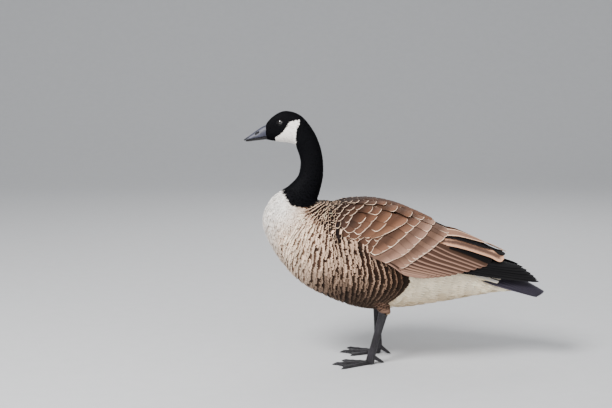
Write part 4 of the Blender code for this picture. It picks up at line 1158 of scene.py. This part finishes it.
def feather_tones(rows, first, last):
    """A colour for each of several rows, from the first row's to the last's."""
    shares = [(k / (len(rows) - 1)) ** 1.3 for k in range(len(rows))]
    return [mix(np.array(first, float), last, share) for share in shares]


def make_wing(side, materials, coverts):
    """A folded wing: skin, small feathers in rows, greater coverts, secondaries, tertials and primaries."""
    mirror = side == RIGHT
    side_name = SIDE_NAMES[side]
    for row, base in zip(SCAPULARS, feather_tones(SCAPULARS, MANTLE, SCAPULAR)):
        wing_row(coverts, row, FIRM, base, SCAPULAR_EDGE, mirror, SCAPULAR_SPREAD)
    ridge_feathers(coverts, mirror)
    for row in SMALL_COVERTS:
        wing_row(coverts, row, FIRM, LESSER, SCAPULAR_EDGE, mirror)
    for row, base in zip(COVERTS, COVERT_TONES):
        wing_row(coverts, row, SQUARE, base, COVERT_EDGE, mirror)
    make_secondaries(side_name, mirror, materials)
    make_tertials(side_name, mirror, materials)
    make_primaries(side_name, mirror, materials)
    make_wing_skin(side, materials["skin_brown"])


def make_wing_skin(side, material):
    """The wing's own body under its feathers."""
    rows, across = WING_SKIN_GRID
    s, a = np.linspace(0, 1, rows)[:, None], np.linspace(*WING_SKIN_ACROSS, across)[None]
    points, normals, _, _ = wing.at(s, a)
    outer = points - normals * WING_SKIN_UNDER
    inner = outer - normals * WING_SKIN_DEPTH
    rings = np.concatenate((outer, inner[:, ::-1]), axis=1)
    count = across * 2
    k = np.arange(across - 1)
    first_end = np.stack((k, k + 1, count - 2 - k, count - 1 - k), 1)
    last_end = first_end[:, [0, 3, 2, 1]] + (rows - 1) * count
    points = rings.reshape(-1, 3)
    faces = np.concatenate((ring_quads(rows, count).reshape(-1, 4), first_end, last_end))
    if side == RIGHT:
        points, faces = points * np.array((1, -1, 1)), faces[:, ::-1]
    name = SIDE_NAMES[side]
    dress(make_mesh(f"wing_skin_{name}", points, faces), material, "wing_plumage", f"wing_{name}")


def tail_line(place, steps):
    """The line and normals of the tail feather at a place from -1 to 1."""
    sideways = np.array((1.0, np.sign(place), 1.0))
    root = TAIL_ROOT + TAIL_ROOT_OUTSIDE * np.array((place**2, abs(place), place**2)) * sideways
    tip = TAIL_TIP + TAIL_TIP_OUTSIDE * np.array((abs(place) ** 1.6, abs(place), abs(place))) * sideways
    slope = math.atan2(root[2] - tip[2], tip[0] - root[0])
    up = np.array((math.sin(slope), 0.0, math.cos(slope)))
    t = steps[:, None]
    line = root + (tip - root) * t + up * TAIL_ARCH * (1 - place**2) * 4 * t * (1 - t)
    roll = -place * TAIL_ROLL * (1 - steps)[:, None]
    return line, up * np.cos(roll) - ACROSS * np.sin(roll)


def make_tail(materials):
    """The black fan of the tail, middle feathers on top, under a band of white coverts."""
    fan = Coat(LONG)
    order = sorted(np.linspace(-1, 1, TAIL_FEATHERS), key=abs, reverse=True)
    for k, place in enumerate(order):
        line, normals = tail_line(place, np.linspace(0, 1, 10))
        line = line + normals * (TAIL_STEP * k - TAIL_LOWEST)
        patch = (0.5 + place * 0.3, 0.5)
        blade(fan, line, normals, TAIL_HALF_WIDTH, "blunt", LIT_TAIL_BLACK, TAIL_EDGE, THIN_RIM, patch, TAIL_BEND)
    fan.build("tail_fan", materials["primaries"], "tail_plumage", "tail")
    band = Coat(LONG)
    for tier, (start, end, lift) in enumerate(TAIL_COVERTS):
        for place in np.linspace(-1, 1, TAIL_COVERT_COUNT + tier % 2):
            steps = np.linspace(start, end + rng.uniform(-0.03, 0.03), 10)
            line, normals = tail_line(place, steps)
            line = line + normals * (lift * np.linspace(0, 1, 10))[:, None]
            tones, patch = (WHITE, VENT_EDGE, TAIL_COVERT_RIM), (0.5 + place * 0.3, 0.2)
            blade(band, line, normals, TAIL_COVERT_WIDTH, "blunt", *tones, patch, TAIL_COVERT_BEND)
    band.build("tail_coverts", materials["soft"], "tail_plumage")


def finish_solid(obj, voxel, rounds):
    """Melts overlapping pieces into one smooth skin."""
    remesh = obj.modifiers.new("melt", "REMESH")
    remesh.mode = "VOXEL"
    remesh.voxel_size = voxel
    soften = obj.modifiers.new("soften", "SMOOTH")
    soften.factor = 0.5
    soften.iterations = rounds
    graph = bpy.context.evaluated_depsgraph_get()
    mesh = bpy.data.meshes.new_from_object(obj.evaluated_get(graph))
    obj.modifiers.clear()
    obj.data = mesh
    mesh.polygons.foreach_set("use_smooth", np.ones(len(mesh.polygons), bool))


def joined(name, parts):
    """One mesh object from several (points, triangles)."""
    points, faces, offset = [], [], 0
    for p, f in parts:
        points.append(p)
        faces.append(f + offset)
        offset += len(p)
    return make_mesh(name, np.concatenate(points), np.concatenate(faces))


def toe_rings(start, direction, across, length, half_width, height):
    """A toe with joints, its sole flat on the floor."""
    shares = np.linspace(0, 1, 40)
    swell = sum(np.exp(-(((shares - place) / KNUCKLE_LENGTH) ** 2)) for place in KNUCKLES)
    size = (1 - (1 - TOE_TAPER) * shares) * (1 + KNUCKLE_SWELL * swell)
    c, s = circle(20)
    centre = start + direction * (length * shares)[:, None]
    wide = half_width * size[:, None] * c
    tall = height * size[:, None] * np.where(s > 0, 0.42 + 0.58 * s, np.maximum(0.42 + 0.75 * s, 0.0))
    return centre[:, None] + wide[..., None] * across + tall[..., None] * UP


def web_part(start, tip_a, tip_b):
    """The skin between two toes, sagging a little between them and hollow at its front edge."""
    along, between = np.linspace(0.02, 1, 26)[:, None], np.linspace(0, 1, 24)[None]
    reach = 1 - (1 - WEB_NOTCH) * np.sin(between * math.pi) ** 0.8
    ends = tip_a + (tip_b - tip_a) * between[..., None][0]
    spread = start + (ends[None] - start) * (along * reach)[..., None]
    fold = WEB_FOLD * np.sin(between * math.pi * 5) * np.sin(between * math.pi) * along
    top = spread + (WEB_HEIGHT + WEB_THICK + WEB_SLOPE * (1 - along) + fold)[..., None] * UP
    bottom = spread + (WEB_HEIGHT * np.ones_like(fold))[..., None] * UP
    rings = np.concatenate((top, bottom[:, ::-1]), axis=1)
    return loft_arrays(rings)


def claw_part(base, direction, radius, height):
    """A blunt curved claw."""
    across = np.cross(UP, direction)
    c, s = circle(16)
    rings = []
    for t in np.linspace(0, 1, 14):
        size = radius * (1 - t**CLAW_POWER) * (1 - CLAW_POINT) + radius * CLAW_POINT
        centre = base + direction * CLAW_LENGTH * t
        centre = np.array((centre[0], centre[1], height + (radius * CLAW_END - height) * t**2))
        ring = centre + np.outer(c, across) * size + np.outer(s, UP) * size
        ring[:, 2] = np.maximum(ring[:, 2], 0.0)
        rings.append(ring)
    return loft_arrays(np.array(rings))


def round_rings(start, end, radii, rows=12, sides=14):
    """Rings square to the line from start to end, whose radius follows radii."""
    shares = np.linspace(0, 1, rows)
    size = np.interp(shares, np.linspace(0, 1, len(radii)), radii)[:, None, None]
    direction = unit(end - start)
    across = unit(np.cross(UP, direction))
    c, s = (v[None, :, None] for v in circle(sides))
    centre = start + (end - start) * shares[:, None]
    return centre[:, None] + size * (c * across + s * np.cross(direction, across))


def make_leg(side, materials):
    """Bare shank and webbed foot as one skin, with claws, and the feathered thigh above."""
    side_name = SIDE_NAMES[side]
    hock_x, joint_x, joint_y = LEGS[side]
    joint = np.array((joint_x, side * joint_y, 0.0))
    hock = np.array((hock_x, side * joint_y, SHANK_TOP))
    ankle = joint + UP * ANKLE_TOP
    parts = [
        loft_arrays(oval_rings(hock + UP * 0.010, ankle - UP * 0.002, SHANK)),
        loft_arrays(oval_rings(ankle, joint + ANKLE_END, ANKLE)),
    ]
    start = joint + np.array((-0.003, 0, 0))
    tips, claws = {}, []
    for name, (length, degrees, half_width, height) in TOES.items():
        turn = side * (math.radians(degrees) + FOOT_TURN_OUT[side])
        direction = np.array((-math.cos(turn), math.sin(turn), 0.0))
        across = np.array((-direction[1], direction[0], 0.0))
        parts.append(loft_arrays(toe_rings(start, direction, across, length, half_width, height)))
        tips[name] = start + direction * length
        base = tips[name] - direction * 0.0012
        claws.append(claw_part(base, direction, half_width * TOE_TAPER * 0.74, height * TOE_TAPER * 0.46))
    parts.append(web_part(start, tips["inner"], tips["middle"]))
    parts.append(web_part(start, tips["middle"], tips["outer"]))
    inwards = unit(np.array((HALLUX_WAY[0], -side * HALLUX_WAY[1], 0.0)))
    hind_start = joint + inwards * HALLUX_START[0] + UP * HALLUX_START[1]
    hind_end = joint + inwards * (HALLUX_START[0] + HALLUX_LENGTH) + UP * HALLUX_END_HEIGHT
    size = HALLUX_HALF_WIDTH
    parts.append(loft_arrays(round_rings(hind_start, hind_end, (size * 1.3, size, size * 0.85))))
    claws.append(claw_part(hind_end - inwards * 0.001, inwards, size * 0.74, hind_end[2]))
    leg = joined(f"leg_{side_name}", parts)
    finish_solid(leg, LEG_VOXEL, 3)
    places = np.empty(len(leg.data.vertices) * 3)
    leg.data.vertices.foreach_get("co", places)
    places[2::3] = np.maximum(places[2::3], 0.0)
    leg.data.vertices.foreach_set("co", places)
    dress(leg, materials["leg"], "leg_skin", f"shank_{side_name}", f"foot_{side_name}")
    claw_nodes = [f"claw_{side_name}_{toe}" for toe in (*TOES, "hind")]
    dress(joined(f"claws_{side_name}", claws), materials["claw"], "leg_skin", *claw_nodes)
    make_thigh(side, hock, materials)


def make_thigh(side, hock, materials):
    """Short brown feathers over the thigh."""
    hip = np.array((hock[0] + THIGH_TOP[0], side * THIGH_TOP[1], THIGH_TOP[2]))
    sections = [(share, -depth, -width) for share, depth, width in THIGH]
    surface = Surface(oval_rings(hip, hock - UP * 0.001, sections, 60, 48), True)
    s, a = np.linspace(0, 1, 30)[:, None], np.linspace(0, 1, 32, endpoint=False)[None]
    points, normals, _, _ = surface.at(s, a)
    inner = points - normals * THIGH_SKIN_UNDER
    body = joined(f"thigh_skin_{SIDE_NAMES[side]}", [loft_arrays(inner[:, ::-1])])
    dress(body, materials["skin_brown"], "body_plumage")
    coat = Coat(TUFT)
    for k, s in enumerate(np.linspace(*THIGH_ROWS)):
        shift = rng.uniform(-THIGH_SHIFT, THIGH_SHIFT, THIGH_COUNT)
        a = (np.arange(THIGH_COUNT) + 0.5 * (k % 2) + shift) / THIGH_COUNT
        shade = rng.normal(1, THIGH_SHADES, (THIGH_COUNT, 1)).clip(*THIGH_SHADE_LIMITS)
        tip = s + rng.normal(0, THIGH_TIPS, THIGH_COUNT)
        tones = (np.array(THIGH_BROWN) * shade, np.array(THIGH_EDGE) * shade, np.full(THIGH_COUNT, THIGH_RIM))
        lay(coat, surface, tip, a, *THIGH_FEATHER, TUFT, *tones, *THIGH_RISE)
    coat.build(f"coat_thigh_{SIDE_NAMES[side]}", materials["soft"], "body_plumage")


def bill_half(name, rows, is_upper):
    """One mandible from smooth sections, the upper one with its nostrils and nail."""
    c, s = circle(72)
    way = 1 if is_upper else -1
    rings = []
    for x, top, bottom, half_width in spline(rows, np.linspace(0, len(rows) - 1, 90)):
        deep = top - bottom
        curved, flat = deep * np.abs(s) ** 0.92, BILL_FLAT * deep * (1 - c**2)
        round_side = way * s > 0
        heights = (bottom if is_upper else top) + way * np.where(round_side, curved, flat)
        widths = half_width * c * np.where(round_side, 1.0, 0.9)
        rings.append(np.stack((np.full_like(c, x), widths, heights), 1))
    points, faces = loft_arrays(np.array(rings))
    if is_upper:
        x, z, slope = NOSTRIL
        forward = (points[:, 0] - x) * math.cos(slope) + (points[:, 2] - z) * math.sin(slope)
        upward = (points[:, 2] - z) * math.cos(slope) - (points[:, 0] - x) * math.sin(slope)
        groove = np.exp(-((forward / GROOVE_SIZE[0]) ** 2) - (upward / GROOVE_SIZE[1]) ** 2)
        hole = smooth(1 - (forward / NOSTRIL_SIZE[0]) ** 2 - (upward / NOSTRIL_SIZE[1]) ** 2, 0.0, 0.7)
        outside = np.abs(points[:, 1]) > 0.003
        points[:, 1] -= np.sign(points[:, 1]) * outside * (GROOVE_DEPTH * groove + NOSTRIL_DEPTH * hole)
        inside = smooth(NAIL_HALF_WIDTH - np.abs(points[:, 1]), 0.0, 0.0016)
        nail = smooth(-points[:, 0], *NAIL_START) * inside
        points[:, 2] += NAIL_HEIGHT * nail * (points[:, 2] > NAIL_LOW)
    return joined(name, [(points, faces[:, ::-1])])


def make_bill(materials):
    """The closed bill: a black upper mandible over the lower one."""
    dress(bill_half("bill_top", UPPER_BILL, True), materials["bill"], "bill_horn", "bill_upper")
    dress(bill_half("bill_under", LOWER_BILL, False), materials["claw"], "bill_horn", "bill_lower")


def make_eyes(materials):
    """Dark glass eyes, each inside a low ring of bare lid."""
    x, y, z = EYE_PLACE
    for side, side_name in SIDE_NAMES.items():
        turned = (math.pi / 2, 0, 0)
        bpy.ops.mesh.primitive_uv_sphere_add(segments=40, ring_count=28, radius=EYE_RADIUS, rotation=turned)
        eye = bpy.context.object
        bpy.ops.object.transform_apply(location=False, rotation=True, scale=True)
        eye.name = f"eyeball_{side_name}"
        mesh = eye.data
        mesh.transform(Matrix.Translation((x, side * y, z)))
        mesh.polygons.foreach_set("use_smooth", np.ones(len(mesh.polygons), bool))
        dress(eye, materials["eye"], "eye_glass", f"eye_{side_name}")
        make_lids(side, materials)


def make_lids(side, materials):
    """A soft almond ring round the eye."""
    x, y, z = EYE_PLACE
    c, s = circle(14)
    rings = []
    for cos, sin in zip(*circle(48)):
        wide = LID_REACH * (1 + 0.16 * abs(cos) ** 3)
        radius = LID_RADIUS - 0.0002 * sin
        out = np.array((cos, 0.0, sin * 0.90))
        middle = np.array((x, side * (y + LID_OUT), z)) + out * wide
        rings.append(middle + np.outer(c, out) * radius + np.outer(s, ACROSS * side) * radius * 1.3)
    quads = ring_quads(len(rings), len(c), closed=True).reshape(-1, 4)
    if side == RIGHT:
        quads = quads[:, ::-1]
    lids = make_mesh(f"lids_{SIDE_NAMES[side]}", np.concatenate(rings), quads)
    dress(lids, materials["lid"], "neck_plumage")


class Nodes:
    """A node tree with short ways to add to it. All but add and join give the new node's output socket."""

    def __init__(self, tree):
        self.tree = tree

    def join(self, value, socket):
        """Sets a socket to a value or links it to another socket."""
        if isinstance(value, bpy.types.NodeSocket):
            self.tree.links.new(value, socket)
        else:
            socket.default_value = value

    def add(self, kind, settings=None, **inputs):
        """A node with its settings and its inputs, named by their sockets or as i and a number."""
        made = self.tree.nodes.new("ShaderNode" + kind)
        for name, value in (settings or {}).items():
            setattr(made, name, value)
        for name, value in inputs.items():
            numbered = name[0] == "i" and name[1:].isdigit()
            self.join(value, made.inputs[int(name[1:]) if numbered else name.replace("_", " ")])
        return made

    def maths(self, operation, first, second=0.0, third=0.0):
        return self.add("Math", {"operation": operation}, i0=first, i1=second, i2=third).outputs[0]

    times = partialmethod(maths, "MULTIPLY")
    plus = partialmethod(maths, "ADD")
    minus = partialmethod(maths, "SUBTRACT")
    larger = partialmethod(maths, "MAXIMUM")
    times_plus = partialmethod(maths, "MULTIPLY_ADD")

    def ramp(self, value, start, end, low=0.0, high=1.0, soft=False):
        """Goes from low to high while the value goes from start to end."""
        settings = {"interpolation_type": "SMOOTHSTEP"} if soft else None
        return self.add("MapRange", settings, Value=value, i1=start, i2=end, i3=low, i4=high).outputs[0]

    def noise(self, place, scale, detail, roughness=0.5):
        return self.add("TexNoise", Vector=place, Scale=scale, Detail=detail, Roughness=roughness).outputs[0]

    def scaled(self, colour, share):
        return self.add("VectorMath", {"operation": "SCALE"}, i0=colour, Scale=share).outputs[0]

    def blend(self, share, first, second):
        return self.add("Mix", {"data_type": "RGBA"}, i0=share, i6=first, i7=second).outputs[2]

    def attribute(self, name):
        return self.add("Attribute", {"attribute_name": name}).outputs

    def place(self):
        return self.add("TexCoord").outputs["Object"]

    def split(self, vector):
        return self.add("SeparateXYZ", Vector=vector).outputs[:3]

    def vector(self, x, y, z):
        return self.add("CombineXYZ", X=x, Y=y, Z=z).outputs[0]

    def group(self, tree, **inputs):
        return self.add("Group", {"node_tree": tree}, **inputs).outputs


class Look(Nodes):
    """A new material with its Principled shader, constants set on the shader's own sockets."""

    def __init__(self, name, roughness, **constants):
        self.material = bpy.data.materials.new(name)
        self.material.use_nodes = True
        super().__init__(self.material.node_tree)
        self.shader = self.tree.nodes["Principled BSDF"]
        for socket, value in (("Roughness", roughness), *constants.items()):
            self.shader.inputs[socket.replace("_", " ")].default_value = value

    def finish(self, colour, height=None, strength=0.0, distance=0.0):
        """Links the colour and, where there is a height, the relief."""
        self.join(colour, self.shader.inputs["Base Color"])
        if height is not None:
            relief = self.add("Bump", Strength=strength, Distance=distance, Height=height)
            self.join(relief.outputs[0], self.shader.inputs["Normal"])
        return self.material


def new_group(name, inputs):
    """A node group with named inputs that gives a colour and a height."""
    tree = bpy.data.node_groups.new(name, "ShaderNodeTree")
    for socket, kind in inputs.items():
        tree.interface.new_socket(socket, in_out="INPUT", socket_type="NodeSocket" + kind)
    for socket, kind in (("Colour", "Color"), ("Height", "Float")):
        tree.interface.new_socket(socket, in_out="OUTPUT", socket_type="NodeSocket" + kind)
    return Nodes(tree), tree.nodes.new("NodeGroupInput").outputs, tree.nodes.new("NodeGroupOutput").inputs


def feather_group():
    """One feather: its colour, painted shade where covered and at the rim, barbs, a pale rim and a pale lower
    web.
    """
    values = ("Fringe", "Random", *FEATHER_VALUES)
    sockets = {"Place": "Vector", "Base": "Color", "Edge": "Color", **dict.fromkeys(values, "Float")}
    nodes, given, result = new_group("feather", sockets)
    times, plus, times_plus, ramp = nodes.times, nodes.plus, nodes.times_plus, nodes.ramp
    across, from_tip, from_rim = nodes.split(given["Place"])
    out = nodes.maths("ABSOLUTE", across)
    seed = times(given["Random"], SEED_SPREAD)
    barb_line = times(times_plus(out, BARB_SLANT, from_tip), BARB_LINES)
    barbs = nodes.noise(nodes.vector(barb_line, times(across, BARB_WANDER), seed), 1.0, 2.0, 0.6)
    cloud_place = nodes.vector(times(across, CLOUD_ACROSS), times(from_tip, CLOUD_ALONG), seed)
    cloud = nodes.noise(cloud_place, CLOUD_SCALE, 2.0)
    # The pale rim, its width wandering with the cloud, fades up the vane's sides
    reach = times(given["Fringe"], times_plus(cloud, RIM_WANDER, RIM_LEAST))
    outer = times(reach, plus(1.0, given["Softness"]))
    inner = times(reach, nodes.minus(1.0, given["Softness"]))
    rim = ramp(from_rim, outer, inner, soft=True)
    uneven = times_plus(nodes.maths("POWER", given["Random"], 4.0), 1.3, 0.35)
    rim_reach = times(given["Rim Reach"], uneven)
    along_side = ramp(from_tip, times(rim_reach, 0.3), rim_reach, 1.0, 0.0)
    # The lower web takes the rim's colour, but not at the tip
    from_low_side = times_plus(nodes.larger(across, 0.0), 2.0, from_rim)
    web = ramp(from_low_side, given["Side Start"], given["Side End"], 0.0, WEB_MOST, soft=True)
    off_tip = ramp(from_tip, 0.0, WEB_FROM_TIP, WEB_AT_TIP, 1.0, soft=True)
    pale = nodes.larger(times(rim, along_side), times(web, off_tip))
    # Painted shade: the covered part is darker, less so on white feathers, and a painted shadow darkens the
    # rim
    brightness = nodes.add("RGBToBW", Color=given["Base"]).outputs[0]
    root_shade = ramp(brightness, 0.15, 0.75, given["Root Shade"], 0.96)
    shade = ramp(from_tip, 0.0, given["Shade Reach"], 1.0, root_shade, soft=True)
    grain = times_plus(nodes.minus(barbs, 0.5), given["Barbs"], 1.0)
    rim_shadow = ramp(from_rim, 0.0, RIM_SHADOW_WIDTH, RIM_SHADOW_SHARE, 1.0, soft=True)
    tone = times(times(shade, grain), rim_shadow)
    colour = nodes.blend(pale, nodes.scaled(given["Base"], tone), nodes.scaled(given["Edge"], grain))
    shaft = ramp(out, 0.0, SHAFT_WIDTH, SHAFT_HEIGHT, 0.0)
    nodes.join(colour, result["Colour"])
    nodes.join(plus(shaft, barbs), result["Height"])
    return nodes.tree


def feather_material(group, name, roughness, shine, bump, *values):
    """A plumage material that reads each feather's own colours."""
    look = Look(name, roughness, Specular_IOR_Level=shine)
    base, edge, place = (look.attribute(layer) for layer in ("base", "edge", "place"))
    given = {
        "Place": place["Vector"], "Base": base["Color"], "Edge": edge["Color"], "Fringe": edge["Alpha"],
        "Random": base["Alpha"], **dict(zip(FEATHER_VALUES, values)),
    }
    feather = look.group(group, **given)
    return look.finish(feather["Colour"], feather["Height"], bump, 0.0004)


def mottle_group():
    """Two scales of noise for skin and horn."""
    nodes, given, result = new_group("mottle", {"Scale": "Float", "Dark": "Color", "Light": "Color"})
    place = nodes.place()
    broad = nodes.noise(place, given["Scale"], 4.0)
    fine = nodes.noise(place, nodes.times(given["Scale"], 9.0), 3.0)
    both = nodes.times_plus(fine, 0.35, nodes.times(broad, 0.65))
    nodes.join(nodes.blend(nodes.ramp(both, 0.35, 0.65), given["Dark"], given["Light"]), result["Colour"])
    nodes.join(both, result["Height"])
    return nodes.tree


def rgba(colour):
    return (*linear(colour), 1.0)


def mottled(look, group, scale, dark, light):
    """The colour and height of mottled skin or horn."""
    return look.group(group, Scale=scale, Dark=rgba(dark), Light=rgba(light))


def mottled_material(name, group, scale, dark, light, roughness, bump, **constants):
    look = Look(name, roughness, **constants)
    mottle = mottled(look, group, scale, dark, light)
    return look.finish(mottle["Colour"], mottle["Height"], bump, MOTTLE_RELIEF)


def leg_material(group):
    """Dark scaled skin: small net-like scales with paler middles."""
    look = Look("leg_skin", 0.42, Specular_IOR_Level=0.35)
    edges = {"feature": "DISTANCE_TO_EDGE"}
    cells = look.add("TexVoronoi", edges, Vector=look.place(), Scale=SCALES_PER_METRE)
    scale = look.ramp(cells.outputs["Distance"], 0.0, SCALE_SEAM)
    mottle = mottled(look, group, 60.0, LEG_DARK, LEG_LIGHT)
    height = look.times_plus(mottle["Height"], 0.4, scale)
    return look.finish(look.blend(scale, rgba(LEG_SEAM), mottle["Colour"]), height, 0.8, 0.0008)


def bill_material(group):
    """Blue-grey horn, with painted shade inside the nostrils and along the gape, and black towards the tip.
    """
    look = Look("bill_horn", 0.46, Specular_IOR_Level=0.35)
    x, _, z = look.split(look.place())
    # Painted shade inside the nostril's hollow
    off_x, off_z = look.minus(x, NOSTRIL[0]), look.minus(z, NOSTRIL[1])
    cos, sin = math.cos(NOSTRIL[2]), math.sin(NOSTRIL[2])
    long, tall = NOSTRIL_SIZE
    forward = look.times_plus(off_x, cos / long, look.times(off_z, sin / long))
    upward = look.times_plus(off_z, cos / tall, look.times(off_x, -sin / tall))
    distance = look.plus(look.times(forward, forward), look.times(upward, upward))
    hole = look.ramp(distance, 0.8, 1.3, 1.0, 0.0)
    tip = look.ramp(x, *BILL_TIP, 0.0, 0.85)
    # Painted shade along the gape, between the mandibles
    above_gape = look.minus(z, look.times_plus(x, *GAPE_LINE))
    gape_shade = look.ramp(above_gape, *GAPE_SHADE_WIDTH, 0.8, 0.0)
    dark = look.larger(look.larger(hole, tip), gape_shade)
    mottle = mottled(look, group, 110.0, BILL_DARK, BILL_LIGHT)
    colour = look.blend(dark, mottle["Colour"], rgba(BILL_BLACK))
    return look.finish(colour, mottle["Height"], 0.25, MOTTLE_RELIEF)


def skin_material():
    """The skin under the coat, in the coat's own colours, fluffed."""
    look = Look("skin", 0.85)
    fluff = look.noise(look.place(), 420.0, 4.0)
    colour = look.scaled(look.attribute("base")["Color"], look.ramp(fluff, 0.3, 0.7, 0.6, 1.0))
    return look.finish(colour, fluff, 0.8, 0.001)


def eye_material():
    """Dark brown glass, black in the middle."""
    look = Look("eye_glass", 0.04, Coat_Weight=1.0, Coat_Roughness=0.02)
    x, _, z = look.split(look.place())
    off_x, off_z = look.minus(x, EYE_PLACE[0]), look.minus(z, EYE_PLACE[2])
    distance = look.maths("SQRT", look.plus(look.times(off_x, off_x), look.times(off_z, off_z)))
    return look.finish(look.blend(look.ramp(distance, *PUPIL, soft=True), rgba(PUPIL_BLACK), rgba(IRIS)))


def make_materials():
    feather, mottle = feather_group(), mottle_group()
    return {
        **{kind: feather_material(feather, *row) for kind, row in FEATHER_LOOKS.items()},
        "skin": skin_material(),
        "skin_brown": mottled_material("under_feathers", mottle, 90.0, *UNDER_FEATHERS, 0.85, 0.5),
        "leg": leg_material(mottle),
        "claw": mottled_material("claw_horn", mottle, 150.0, *CLAW_HORN, 0.4, 0.2, Specular_IOR_Level=0.3),
        "bill": bill_material(mottle),
        "lid": mottled_material("eyelid", mottle, 400.0, *EYELID, 0.6, 0.3, Specular_IOR_Level=0.15),
        "eye": eye_material(),
    }


def make_floor():
    """A pale floor that curves up into a wall."""
    turn = np.linspace(0, math.pi / 2, 24)
    y = np.concatenate(([STAGE_FRONT], STAGE_DEPTH + STAGE_CURVE * np.sin(turn), [STAGE_DEPTH + STAGE_CURVE]))
    z = np.concatenate(([0.0], STAGE_CURVE * (1 - np.cos(turn)), [STAGE_HEIGHT]))
    points = np.array([(x, *spot) for spot in zip(y, z) for x in (-STAGE_WIDTH, STAGE_WIDTH)])
    k = np.arange(len(y) - 1)[:, None] * 2
    floor = make_mesh("floor", points, k + np.array((0, 1, 3, 2)))
    look = Look("floor_paper", 0.9)
    grain = look.noise(look.place(), 30.0, 3.0)
    floor.data.materials.append(look.finish(look.blend(grain, *FLOOR_GREYS)))


def make_stage():
    """The floor, soft light and the camera."""
    make_floor()
    scene = bpy.context.scene
    world = bpy.data.worlds.new("studio")
    world.use_nodes = True
    sky = world.node_tree.nodes["Background"].inputs
    sky["Color"].default_value = SKY_COLOUR
    sky["Strength"].default_value = SKY_STRENGTH
    scene.world = world
    for name, energy, size, place, aim in LIGHTS:
        light = bpy.data.objects.new(name, bpy.data.lights.new(name, "AREA"))
        light.data.energy = energy
        light.data.size = size
        light.location = place
        scene.collection.objects.link(light)
        x, y, z = np.array(aim) - np.array(place)
        light.rotation_euler = (math.atan2(math.hypot(x, y), -z), 0, math.atan2(y, x) - math.pi / 2)
    camera = bpy.data.objects.new("camera", bpy.data.cameras.new("camera"))
    camera.data.lens = CAMERA_LENS
    camera.location = CAMERA_PLACE
    camera.rotation_euler = (CAMERA_TILT, 0, 0)
    scene.collection.objects.link(camera)
    scene.camera = camera


def main():
    make_stage()
    materials = make_materials()
    make_skin(materials["skin"])
    coverts = Coat(FIRM)
    make_body_coat(materials, coverts)
    for side in SIDE_NAMES:
        make_wing(side, materials, coverts)
        make_leg(side, materials)
    coverts.build("coverts", materials["firm"], "wing_plumage")
    make_tail(materials)
    make_bill(materials)
    make_eyes(materials)


main()
